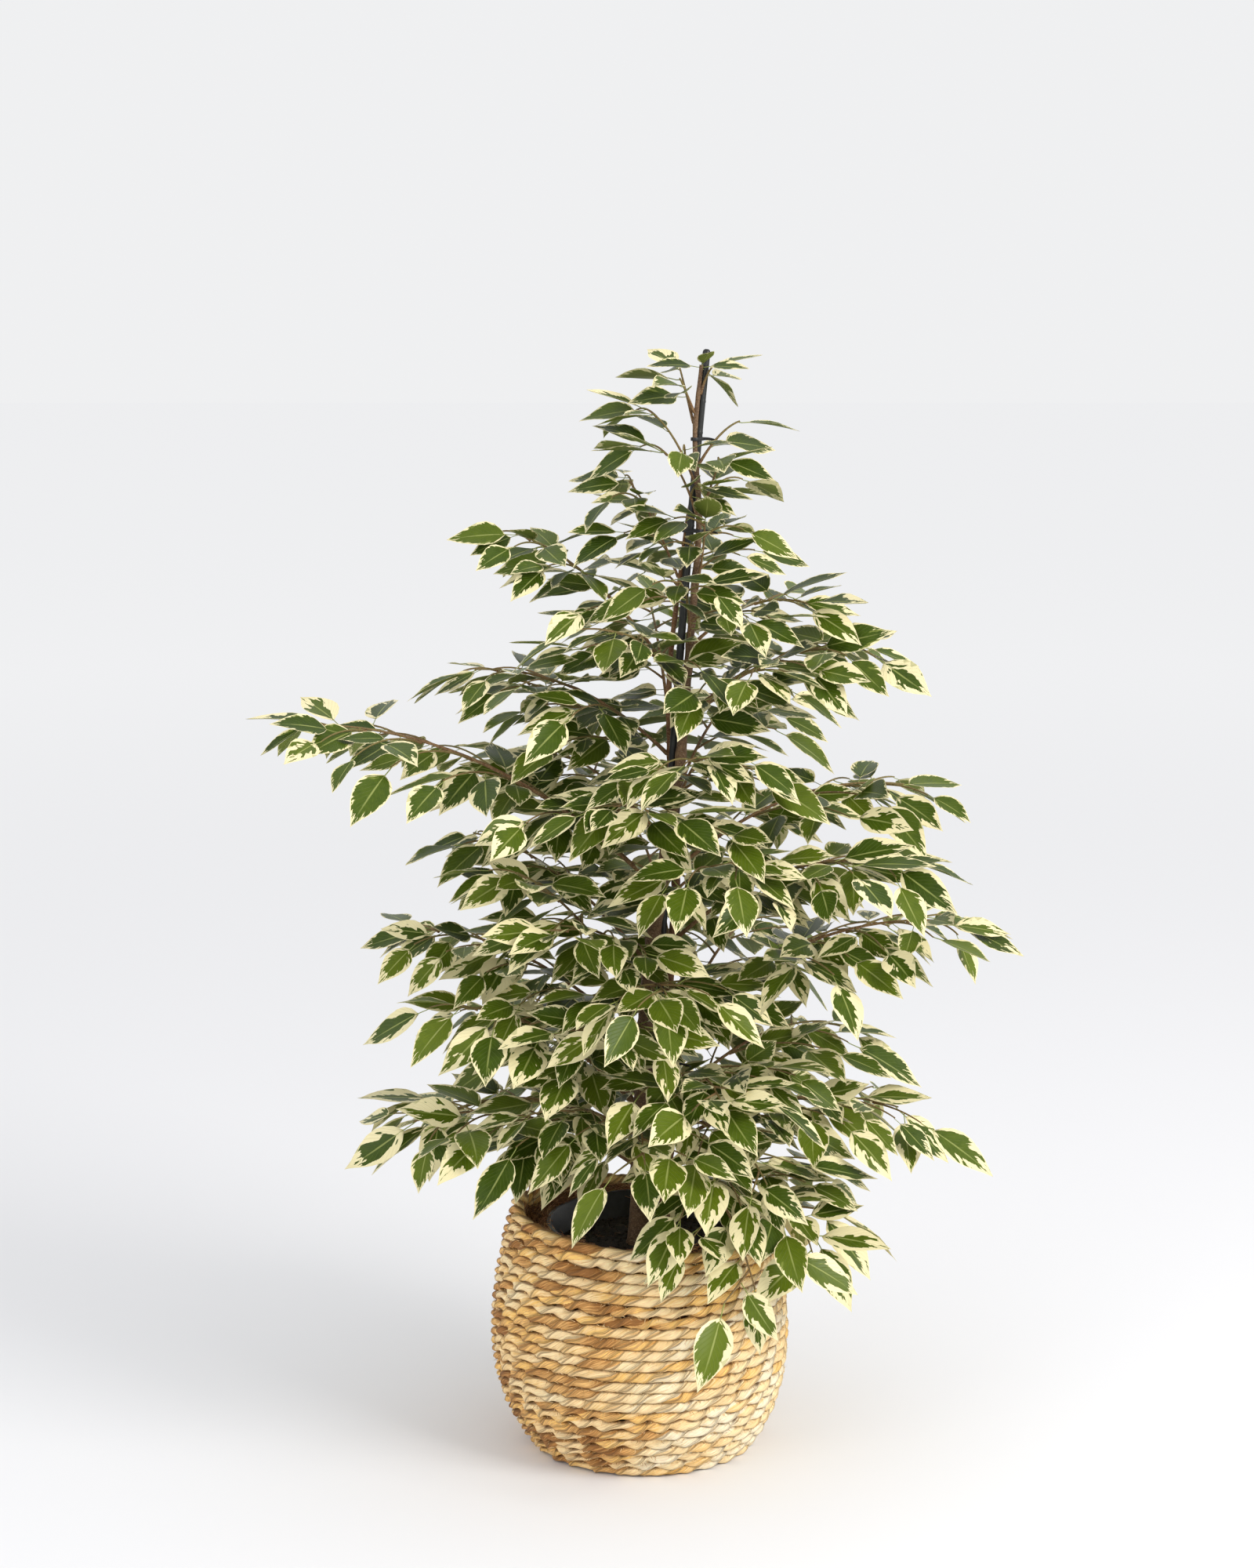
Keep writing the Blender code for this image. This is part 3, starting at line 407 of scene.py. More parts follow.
def rope_source(name, rows):
    """The middle lines of several rows, as the rings that the rope tree starts from."""
    points, outwards, upwards, widths, numbers, edges = [], [], [], [], [], []
    for number, (radius, height, flat) in rows:
        ring, out_ways, up_ways, shares = rope_ring(radius, height, flat)
        widths += shares
        first = len(points)
        points += ring
        outwards += out_ways
        upwards += up_ways
        numbers += [float(number)] * len(ring)
        edges += [(first + k, first + (k + 1) % len(ring)) for k in range(len(ring))]
    return mesh_of(name, points, edges, attributes=(
        ("outward", "FLOAT_VECTOR", outwards), ("upward", "FLOAT_VECTOR", upwards),
        ("row", "FLOAT", numbers), ("row_width", "FLOAT", widths)))


def straw_material():
    """Dried straw: each length has its own colour, with fine streaks along it and painted shade in the
    creases between rows and along the strands' edges.
    """
    finish, tree, shader = new_material("twisted_straw")
    along = attribute(tree, "along")
    pick = attribute(tree, "pick")
    crease = attribute(tree, "crease")
    round_it = attribute(tree, "round")
    place = object_place(tree)
    streaks = noise(tree, xyz(tree, along * 60.0, round_it * 26.0, pick * 40.0), 1.0, 3.0, 0.6)
    threads = noise(tree, xyz(tree, along * 170.0, round_it * 95.0, pick * 40.0), 1.0, 2.0, 0.6)
    patches = noise(tree, place, 14.0, 2.0)
    # Darker and browner towards the left, paler towards the right: partly the straw's own tone, partly
    # painted shade on the left and painted light on the right.
    shade = part_of(tree, place, 0).rise(-0.14, 0.10) * 0.42 - 0.08
    choice = pick * 0.70 + (patches - 0.5) * 1.0 + (streaks - 0.5) * 0.60 + shade
    colour = ramp(tree, choice, STRAW_COLOURS)
    light = (threads - 0.5) * 1.3 + (streaks - 0.5) * 0.9 + 1.05
    grey = out(add(tree, "ShaderNodeCombineColor", {0: light, 1: light, 2: light}))
    colour = blend_colours(tree, 1.0, colour, grey, "MULTIPLY")
    # Painted shade: the straw is darkened in the creases between rows and along the edges of each
    # strand.
    edge = (round_it * math.tau).calc("COSINE").calc("ABSOLUTE")
    shadow = crease.rise(0.62, 0.96).calc("MAXIMUM", edge.rise(0.88, 1.0) * 0.65)
    colour = blend_colours(tree, shadow * 0.88, colour, CREASE_SHADE)
    feed(tree, shader.inputs["Base Color"], colour)
    shader.inputs["Roughness"].default_value = 0.62
    shader.inputs["Specular IOR Level"].default_value = 0.35
    bump(tree, threads * 0.5 + streaks, 0.0011, shader)
    return finish


straw = straw_material()


def rope_tree():
    """Two flat strands twisted round the middle line of each row."""
    tree, source, numbers = geometry_tree(
        "twisted_rope", "Twist Length", "Strand Reach", "Strand Width", "Strand Depth", "Sides")
    twist, reach, width, depth, sides = numbers
    curve = add(tree, "GeometryNodeMeshToCurve", {"Mesh": source}).outputs[0]
    factor = out(add(tree, "GeometryNodeSplineParameter"), "Factor")
    length = out(add(tree, "GeometryNodeSplineLength"), 0)
    turns = (length / twist).calc("ROUND")
    row = read(tree, "row")
    row_width = read(tree, "row_width")
    outward = read(tree, "outward", "FLOAT_VECTOR")
    upward = read(tree, "upward", "FLOAT_VECTOR")
    place = position(tree)
    wobble = noise(tree, place, 38.0, 1.0)
    strands = []
    for strand in range(2):
        start = row * ROW_TURN + strand * math.pi
        phase = factor * turns * math.tau + start + (wobble - 0.5) * TWIST_WANDER
        turn_number = (phase / math.tau + 0.5).calc("FLOOR")
        seed = turn_number * 7.31 + row * 3.77 + strand * 1.93
        pick = (seed.calc("SINE") * PICK_SPREAD[0]).calc("FRACT")
        size_pick = (seed.calc("COSINE") * PICK_SPREAD[1]).calc("FRACT")
        facing = vector(tree, "ADD", vector(tree, "SCALE", outward, phase.calc("COSINE")),
                        vector(tree, "SCALE", upward, phase.calc("SINE")))
        loose = noise(tree, place, 60.0 + 9 * strand, 1.0)
        away = vector(tree, "SCALE", facing, reach * (loose * 0.5 + 0.75) * row_width)
        path = stored(tree, curve, "along", factor * length)
        path = stored(tree, path, "pick", pick)
        path = stored(tree, path, "middle", place, "FLOAT_VECTOR")
        path = moved(tree, path, away)
        path = add(tree, "GeometryNodeSetCurveNormal", {"Curve": path, "Normal": facing}, mode="FREE")
        round_it = out(add(tree, "GeometryNodeSplineParameter"), "Factor")
        profile = stored(tree, circle(tree, sides), "round", round_it)
        profile = add(tree, "GeometryNodeTransform", {
            "Geometry": profile, "Scale": xyz(tree, width, depth, 1.0)})
        strands.append(add(tree, "GeometryNodeCurveToMesh", {
            "Curve": path.outputs[0], "Profile Curve": profile.outputs[0],
            "Scale": (size_pick * 0.24 + 0.90) * row_width}))
    joined = add(tree, "GeometryNodeJoinGeometry")
    for strand in reversed(strands):
        tree.links.new(strand.outputs[0], joined.inputs[0])
    # How far across its row each point lies; the straw's material paints shade where this is large.
    lift = vector(tree, "SUBTRACT", place, read(tree, "middle", "FLOAT_VECTOR"))
    crease = vector(tree, "DOT_PRODUCT", lift, upward).calc("ABSOLUTE") / (width * 1.12) / row_width
    marked = stored(tree, joined.outputs[0], "crease", crease)
    x, y, z = (part_of(tree, place, axis) for axis in range(3))
    pressed = xyz(tree, x, y, z.calc("MAXIMUM", LOWEST_STRAW))
    rested = add(tree, "GeometryNodeSetPosition", {"Geometry": marked, "Position": pressed})
    finish_tree(tree, rested.outputs[0], straw)
    return tree


rope = rope_tree()
row_edges = rope_heights(ROPE_ROWS)
wall_rows = []
for number, (low, high) in enumerate(zip(row_edges, row_edges[1:])):
    middle = (low + high) / 2
    wall_rows.append((number, (basket_radius(middle), middle, False)))
row_width = math.dist(*((basket_radius(height), height) for height in row_edges[9:11]))
base_rows = []
base_radius = BASKET_FOOT_RADIUS - row_width * 0.9
while base_radius > row_width * 0.6:
    base_rows.append((BASE_ROW_NUMBER + len(base_rows), (base_radius, ROPE_DEPTH, True)))
    base_radius -= row_width
for name, rows in (("basket_rope_base", base_rows), ("basket_rope_lower", wall_rows[:LOWER_ROWS]),
                   ("basket_rope_upper", wall_rows[LOWER_ROWS:])):
    piece = grown_from(
        rope_source(name + "_rows", rows), name, rope,
        twist_length=TWIST_LENGTH, strand_reach=STRAND_REACH, strand_width=row_width * STRAND_WIDTH,
        strand_depth=STRAND_DEPTH, sides=STRAND_SIDES)
    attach(piece, "root")
    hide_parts("basket")


# Straw ends
# The rope is spun from short dry leaves, so their ends stand out along every seam between two
# rows. Each is a stiff little spike, rooted in the seam.

WISP_SPACING = 0.0019
WISP_LENGTH = (0.0026, 0.0070)
WISP_RADIUS = 0.00036
WISP_ROOT = 0.0020            # how far inside the wall's outer face they are rooted
WISP_STRAY = 0.0008           # how far a root lies to the side of its seam
WISP_LEAN = (0.15, 0.9)       # how far they lean out of the wall, against any other way
WISP_COLOURS = (
    (0.0, (0.30, 0.150, 0.045)),
    (0.5, (0.80, 0.540, 0.220)),
    (1.0, (1.00, 0.800, 0.460)),
)


def wisp_material():
    """Dry straw, each end with its own colour."""
    finish, tree, shader = new_material("straw_ends")
    feed(tree, shader.inputs["Base Color"], ramp(tree, attribute(tree, "pick"), WISP_COLOURS))
    shader.inputs["Roughness"].default_value = 0.7
    return finish


def random_between(tree, low, high, seed, kind="FLOAT"):
    """A different value for each point."""
    node = add(tree, "FunctionNodeRandomValue", {"Min": low, "Max": high, "Seed": seed},
               data_type=kind)
    return Reading(tree, next(each for each in node.outputs if each.enabled))


def wisp_tree(finish):
    """Spikes along the seams, leaning every way but inwards."""
    tree, source, numbers = geometry_tree("straw_ends", "Spacing", "Shortest", "Longest", "Radius")
    spacing, shortest, longest, radius = numbers
    curve = add(tree, "GeometryNodeMeshToCurve", {"Mesh": source}).outputs[0]
    roots = add(tree, "GeometryNodeCurveToPoints", {"Curve": curve, "Length": spacing}, mode="LENGTH")
    roots = stored(tree, roots.outputs[0], "pick", random_between(tree, 0.0, 1.0, 11))
    stray = random_between(tree, (-1.0, -1.0, -1.0), (1.0, 1.0, 1.0), 20, "FLOAT_VECTOR")
    outward = read(tree, "outward", "FLOAT_VECTOR")
    out_share = random_between(tree, *WISP_LEAN, 31)
    lean = vector(tree, "ADD", vector(tree, "SCALE", outward, out_share), stray)
    rooted = moved(tree, roots, vector(
        tree, "ADD", vector(tree, "SCALE", outward, ROPE_DEPTH - WISP_ROOT),
        vector(tree, "SCALE", stray, WISP_STRAY)))
    turn = add(tree, "FunctionNodeAlignRotationToVector", {"Vector": lean}, axis="Z").outputs[0]
    spike = add(tree, "GeometryNodeMeshCone", {
        "Vertices": 3, "Radius Top": 0.0, "Radius Bottom": radius, "Depth": 1.0}).outputs[0]
    size = xyz(tree, 1.0, 1.0, random_between(tree, shortest, longest, 41))
    spikes = add(tree, "GeometryNodeInstanceOnPoints", {
        "Points": rooted, "Instance": spike, "Rotation": turn, "Scale": size})
    finish_tree(tree, spikes.outputs[0], finish, smooth=False)
    return tree


seams = [(number, (basket_radius(height), height, False))
         for number, height in enumerate(row_edges[1:-1])]
piece = grown_from(
    rope_source("seams", seams), "straw_ends", wisp_tree(wisp_material()),
    spacing=WISP_SPACING, shortest=WISP_LENGTH[0], longest=WISP_LENGTH[1], radius=WISP_RADIUS)
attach(piece, "root")
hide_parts("basket")


# Nursery pot
# A thin black plastic pot with a rolled lip, turned smooth, with round drainage holes in its floor.
# It stands loose in the basket, a little to the right.

POT_CENTRE_X = 0.009
POT_FOOT_RADIUS = 0.080
POT_TOP_RADIUS = 0.104
POT_LIP_RADIUS = 0.107
POT_LIP_DEPTH = 0.008
POT_WALL = 0.002
POT_FLOOR = 0.003
POT_BOTTOM = 0.0113
POT_TOP = 0.229
POT_ROUND = 96                # flats round the pot
POT_FOOT_ROUNDING = 0.003
LIP_ROUNDING = 0.0012
LIP_UNDERCUT = 0.0008
DRAIN_HOLES = 4
DRAIN_RADIUS = 0.006
DRAIN_CIRCLE = 0.045


def turned(profile, segments, place):
    """Turn a profile round the upright axis: outer side going up, inner side coming down."""
    points, rings = [], []
    for radius, height in profile:
        first = len(points)
        if radius == 0:
            points.append(place(0.0, height, 0.0))
            rings.append([first] * segments)
        else:
            points += [place(radius, height, math.tau * k / segments) for k in range(segments)]
            rings.append(list(range(first, first + segments)))
    faces = []
    for low, high in zip(rings, rings[1:]):
        for k in range(segments):
            ahead = (k + 1) % segments
            faces.append(tuple(dict.fromkeys((low[k], low[ahead], high[ahead], high[k]))))
    return points, faces


def pot_place(radius, height, angle):
    """Where a point of the pot lies."""
    return Vector((POT_CENTRE_X + radius * math.cos(angle), radius * math.sin(angle), height))


def pot_radius(height):
    """Outer radius of the pot's wall, which widens evenly to the top."""
    share = (height - POT_BOTTOM) / (POT_TOP - POT_BOTTOM)
    return POT_FOOT_RADIUS + (POT_TOP_RADIUS - POT_FOOT_RADIUS) * share


def pot_profile():
    """The pot's outline, with a rounded foot and a lip rolled over."""
    foot, lip = POT_FOOT_ROUNDING, LIP_ROUNDING
    profile = [(0, POT_BOTTOM), (POT_FOOT_RADIUS - foot, POT_BOTTOM)]
    for turn in (math.pi / 6, math.pi / 3, math.pi / 2):
        out_by, up_by = foot * math.sin(turn), foot * math.cos(turn)
        profile.append((POT_FOOT_RADIUS - foot + out_by, POT_BOTTOM + foot - up_by))
    lip_bottom = POT_TOP - POT_LIP_DEPTH
    profile += [(pot_radius(lip_bottom) - 0.0002, lip_bottom + 0.0006),
                (POT_LIP_RADIUS - LIP_UNDERCUT, lip_bottom),
                (POT_LIP_RADIUS, lip_bottom + LIP_UNDERCUT), (POT_LIP_RADIUS, POT_TOP - lip)]
    for turn in (math.pi / 4, math.pi / 2):
        out_by, up_by = lip * math.cos(turn), lip * math.sin(turn)
        profile.append((POT_LIP_RADIUS - lip + out_by, POT_TOP - lip + up_by))
    inner = POT_TOP_RADIUS - POT_WALL
    floor_top = POT_BOTTOM + POT_FLOOR
    profile += [(inner + 0.0010, POT_TOP), (inner + 0.0002, POT_TOP - 0.0008)]
    profile += [(pot_radius(floor_top) - POT_WALL, floor_top), (0, floor_top)]
    return profile


def plastic_material(name, colour, roughness):
    """Black moulded plastic: faintly uneven gloss, and a little dust."""
    finish, tree, shader = new_material(name)
    place = object_place(tree)
    dust = noise(tree, place, 45.0, 4.0, 0.6)
    paler = tuple(min(channel * 2.6 + 0.012, 1.0) for channel in colour)
    feed(tree, shader.inputs["Base Color"], blend_colours(tree, dust.rise(0.42, 0.78), colour, paler))
    feed(tree, shader.inputs["Roughness"], dust * 0.3 + (roughness - 0.15))
    bump(tree, noise(tree, place, 900.0, 2.0), 0.00012, shader)
    return finish


pot_points, pot_faces = turned(pot_profile(), POT_ROUND, pot_place)
pot = mesh_of("pot_shell", pot_points, faces=pot_faces)


def drain_tree(finish):
    """Round holes cut through the pot's floor on a circle."""
    tree, source, (radius, ring_radius, centre, floor) = geometry_tree(
        "drain_holes", "Hole Radius", "Circle Radius", "Centre", "Floor Height")
    ring = add(tree, "GeometryNodeMeshCircle", {"Vertices": DRAIN_HOLES, "Radius": ring_radius})
    ring = add(tree, "GeometryNodeTransform", {
        "Geometry": ring.outputs[0], "Translation": xyz(tree, centre, 0.0, floor),
        "Rotation": (0.0, 0.0, math.pi / DRAIN_HOLES)})
    drill = add(tree, "GeometryNodeMeshCylinder", {"Vertices": 24, "Radius": radius, "Depth": 0.02})
    drills = add(tree, "GeometryNodeInstanceOnPoints", {
        "Points": ring.outputs[0], "Instance": drill.outputs[0]})
    drills = add(tree, "GeometryNodeRealizeInstances", {0: drills.outputs[0]})
    cut = add(tree, "GeometryNodeMeshBoolean", {"Mesh 1": source, "Mesh 2": drills.outputs[0]},
              operation="DIFFERENCE", solver="EXACT")
    finish_tree(tree, cut.outputs[0], finish)
    return tree


pot_plastic = plastic_material("pot_plastic", (0.012, 0.012, 0.014), 0.42)
pot = grown_from(pot, "pot", drain_tree(pot_plastic), hole_radius=DRAIN_RADIUS,
                 circle_radius=DRAIN_CIRCLE, centre=POT_CENTRE_X, floor_height=POT_BOTTOM)
pot.data.set_sharp_from_angle(angle=math.radians(40))
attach(pot, "root")
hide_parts("nursery_pot")


# Soil
# Dark potting soil, crumbly, with bits of bark and fibre lying on it.

SOIL_TOP = 0.206
SOIL_CRUMB = 0.0022
CRUMB_DENSITY = 60000.0       # for each square metre
SOIL_COLOURS = (
    (0.30, (0.004, 0.003, 0.002)),
    (0.55, (0.020, 0.012, 0.008)),
    (0.75, (0.065, 0.038, 0.022)),
)


def soil_material():
    """Moist dark soil, with brown bits."""
    finish, tree, shader = new_material("dark_soil")
    place = object_place(tree)
    grain = noise(tree, place, 260.0, 5.0, 0.65)
    bits = noise(tree, place, 90.0, 3.0, 0.6)
    colour = ramp(tree, grain, SOIL_COLOURS)
    colour = blend_colours(tree, bits.rise(0.58, 0.72), colour, (0.10, 0.052, 0.026))
    feed(tree, shader.inputs["Base Color"], colour)
    shader.inputs["Roughness"].default_value = 0.95
    bump(tree, grain, 0.0016, shader)
    return finish


def finished_solid(name, finish):
    """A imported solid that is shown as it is, with its finish."""
    solid = frame["nodes"][name]
    solid.data.materials.clear()
    solid.data.materials.append(finish)
    return solid


def ground_of(solid, name):
    """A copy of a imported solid's faces, to scatter things on."""
    return mesh_of(name, [vertex.co for vertex in solid.data.vertices],
                   faces=[tuple(face.vertices) for face in solid.data.polygons])


soil_finish = soil_material()
soil = finished_solid("soil", soil_finish)


def scattered_points(tree, source, density, seed, least_up):
    """Points at random on the faces that look up."""
    up = part_of(tree, out(add(tree, "GeometryNodeInputNormal")), 2)
    level = add(tree, "FunctionNodeCompare", {0: up, 1: least_up},
                data_type="FLOAT", operation="GREATER_THAN")
    points = add(tree, "GeometryNodeDistributePointsOnFaces", {
        "Mesh": source, "Selection": level.outputs[0], "Density": density, "Seed": seed})
    return points.outputs[0]


def any_turn(tree, turn):
    """A rotation from turns about X, Y and Z."""
    return add(tree, "FunctionNodeEulerToRotation", {0: turn}).outputs[0]


def crumbs_tree():
    """Small angular lumps, pressed into the soil at random."""
    tree, source, (size, density) = geometry_tree("soil_crumbs", "Size", "Density")
    points = scattered_points(tree, source, density, 3, 0.7)
    lump = add(tree, "GeometryNodeMeshIcoSphere", {"Radius": 1.0, "Subdivisions": 1}).outputs[0]
    shape = random_between(tree, (0.4, 0.4, 0.3), (1.5, 1.1, 0.9), 5, "FLOAT_VECTOR")
    turn = random_between(tree, (0.0, 0.0, 0.0), (math.tau, math.tau, math.tau), 6, "FLOAT_VECTOR")
    share = random_between(tree, 0.25, 1.0, 7)
    lumps = add(tree, "GeometryNodeInstanceOnPoints", {
        "Points": points, "Instance": lump, "Rotation": any_turn(tree, turn),
        "Scale": vector(tree, "SCALE", shape, share * share * size)})
    finish_tree(tree, lumps.outputs[0], soil_finish, smooth=False)
    return tree


crumbs = grown_from(ground_of(soil, "soil_ground"), "soil_crumbs", crumbs_tree(),
                    size=SOIL_CRUMB, density=CRUMB_DENSITY)
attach(crumbs, "root")


# Coir packing
# Brown coconut fibre stuffed between the pot and the basket, with loose ends standing out.

COIR_COLOURS = (
    (0.25, (0.150, 0.060, 0.026)),
    (0.50, (0.380, 0.160, 0.075)),
    (0.70, (0.620, 0.320, 0.150)),
    (0.85, (0.800, 0.540, 0.290)),
)
FIBRE_LENGTH = 0.017
FIBRE_THICKNESS = 0.00034
FIBRE_DENSITY = 420000.0      # for each square metre
FIBRE_HEAP = 0.017            # how high they are heaped
FIBRE_LEAN = 0.7              # radians
FIBRE_ARC = ((-0.5, 0.0, 0.0), (0.0, 0.12, 0.34), (0.5, 0.0, 0.04))


def coir_material():
    """Reddish-brown fibre, lighter here and there."""
    finish, tree, shader = new_material("coir")
    place = object_place(tree)
    own = attribute(tree, "fibre_pick")
    strands = noise(tree, place, 420.0, 3.0, 0.7, 1.5)
    feed(tree, shader.inputs["Base Color"], ramp(tree, strands * 0.6 + own * 0.5, COIR_COLOURS))
    shader.inputs["Roughness"].default_value = 0.85
    bump(tree, strands, 0.0015, shader)
    return finish


coir_finish = coir_material()
packing = finished_solid("coir_packing", coir_finish)


def fibre_tree():
    """Thin curved fibres heaped on a surface, mostly along the way round the pot."""
    tree, source, (length, thickness, density, heap) = geometry_tree(
        "coir_fibres", "Length", "Thickness", "Density", "Heap")
    points = scattered_points(tree, source, density, 11, 0.5)
    roots = moved(tree, points, xyz(tree, z=random_between(tree, 0.0, 1.0, 15) * heap))
    arc = add(tree, "GeometryNodeCurveQuadraticBezier", {
        "Resolution": 4, "Start": FIBRE_ARC[0], "Middle": FIBRE_ARC[1], "End": FIBRE_ARC[2]})
    fibre = add(tree, "GeometryNodeCurveToMesh", {
        "Curve": arc.outputs[0], "Profile Curve": circle(tree, 3), "Scale": thickness / length,
        "Fill Caps": True})
    place = position(tree)
    east = part_of(tree, place, 0) - POT_CENTRE_X
    around = part_of(tree, place, 1).calc("ARCTAN2", east) + math.pi / 2
    most = (FIBRE_LEAN, FIBRE_LEAN, 0.45)
    tilt = random_between(tree, tuple(-turn for turn in most), most, 12, "FLOAT_VECTOR")
    turn = vector(tree, "ADD", tilt, xyz(tree, z=around))
    share = random_between(tree, 0.45, 1.25, 13)
    fibres = add(tree, "GeometryNodeInstanceOnPoints", {
        "Points": roots, "Instance": fibre.outputs[0], "Rotation": any_turn(tree, turn),
        "Scale": share * length})
    pick = random_between(tree, 0.0, 1.0, 14)
    fibres = stored(tree, fibres.outputs[0], "fibre_pick", pick, domain="INSTANCE")
    finish_tree(tree, fibres, coir_finish)
    return tree


coir = grown_from(ground_of(packing, "coir_ground"), "coir_fibres", fibre_tree(),
                  length=FIBRE_LENGTH, thickness=FIBRE_THICKNESS,
                  density=FIBRE_DENSITY, heap=FIBRE_HEAP)
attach(coir, "root")


# Stems and stake
# Two woody stems climb a thin black stake. Their bark is brown, rough with pores, swollen a
# little where a branch leaves, and thicker at the soil.

PLANT_FOOT = 0.225
PLANT_HEIGHT = 0.880
AXIS_FOOT_X = 0.011
AXIS_LEAN = 0.050
AXIS_CURVE = 1.7
ROOTED_AT = 0.120
STAKE_RADIUS = 0.0038
STAKE_TOP = 1.100
MAIN_TOP = 1.085
MAIN_RADIUS = (0.0100, 0.0018)
MAIN_TAPER = 1.25
MAIN_WANDER = 0.0015
WINDING_START = 195           # degrees round the stake at the foot of the main stem
WINDING_ACROSS = 155          # then it turns this much across the front
WINDING_BACK = 115            # and this much back
WINDING_HEIGHTS = ((0.42, 0.82), (0.90, 1.04))
SECOND_TOP = 0.960
SECOND_RADIUS = (0.0058, 0.0016)
SECOND_WANDER = 0.0050
SECOND_BEHIND = 150           # degrees round the stake from the main stem
STEM_SLACK = 0.0008           # what keeps a stem off the stake
WANDER_RATE = 23              # radians of stray for each metre of height
STEM_STEP = 0.003
FORK_SWELLING = (0.22, 0.006)     # share of the radius, and how far up and down it reaches
ROOT_FLARE = (0.35, 0.012)        # share of the radius, and how far up it reaches
STAKE_RING_EVERY = 0.030
STAKE_RING_WIDTH = 0.0015
STAKE_RING_WIDER = 1.09
STAKE_CROWN = ((0.0025, 0.98), (0.0012, 0.85), (0.0, 0.45))      # how far down, and how wide
MAIN_BARK_COLOURS = (
    (0.30, (0.050, 0.026, 0.012)),
    (0.50, (0.135, 0.072, 0.034)),
    (0.70, (0.27, 0.165, 0.085)),
)
RED_BARK_COLOURS = (
    (0.30, (0.085, 0.034, 0.014)),
    (0.50, (0.20, 0.088, 0.036)),
    (0.70, (0.35, 0.19, 0.090)),
)


def climb(height):
    """0 where the plant comes out of the soil, 1 at the top of the stake."""
    return min(max((height - PLANT_FOOT) / PLANT_HEIGHT, 0.0), 1.0)


def stake_line(height):
    """Middle of the stake, which leans and bows to the right."""
    return Vector((AXIS_FOOT_X + AXIS_LEAN * climb(height) ** AXIS_CURVE, 0, height))


def stake_radius(height):
    """The same at every height, in the form that the stems have."""
    return STAKE_RADIUS


def main_radius(height):
    """The main stem thins fast at first."""
    return MAIN_RADIUS[1] + (MAIN_RADIUS[0] - MAIN_RADIUS[1]) * (1 - climb(height)) ** MAIN_TAPER


def second_radius(height):
    """The second stem thins evenly."""
    share = max(1 - climb(height) / climb(SECOND_TOP), 0.0)
    return SECOND_RADIUS[1] + (SECOND_RADIUS[0] - SECOND_RADIUS[1]) * share


def ease(height, low, high):
    """0 below the low height, 1 above the high one, with a smooth change between."""
    share = min(max((height - low) / (high - low), 0.0), 1.0)
    return share * share * (3 - 2 * share)


def winding(height):
    """Angle at which the main stem lies round the stake: it crosses in front, and back near the top."""
    across = WINDING_ACROSS * ease(height, *WINDING_HEIGHTS[0])
    back = WINDING_BACK * ease(height, *WINDING_HEIGHTS[1])
    return math.radians(WINDING_START + across - back)


def beside_stake(height, turn, radius, wander):
    """Middle of a stem of this radius, on this side of the stake, at times a little off it."""
    wave = 0.5 + 0.5 * math.sin(WANDER_RATE * max(height, PLANT_FOOT) + turn)
    away = STAKE_RADIUS + radius + STEM_SLACK + wander * wave
    return stake_line(height) + Vector((math.cos(turn), math.sin(turn), 0)) * away


def main_line(height):
    """Middle of the main stem."""
    return beside_stake(height, winding(height), main_radius(height), MAIN_WANDER)


def second_line(height):
    """Middle of the second stem, on the far side of the stake from the main one."""
    turn = winding(height) + math.radians(SECOND_BEHIND)
    return beside_stake(height, turn, second_radius(height), SECOND_WANDER)


# What stands in the soil: name, middle line, radius, top
STANDING = (
    ("stem_main", main_line, main_radius, MAIN_TOP),
    ("stem_second", second_line, second_radius, SECOND_TOP),
    ("stake", stake_line, stake_radius, STAKE_TOP),
)

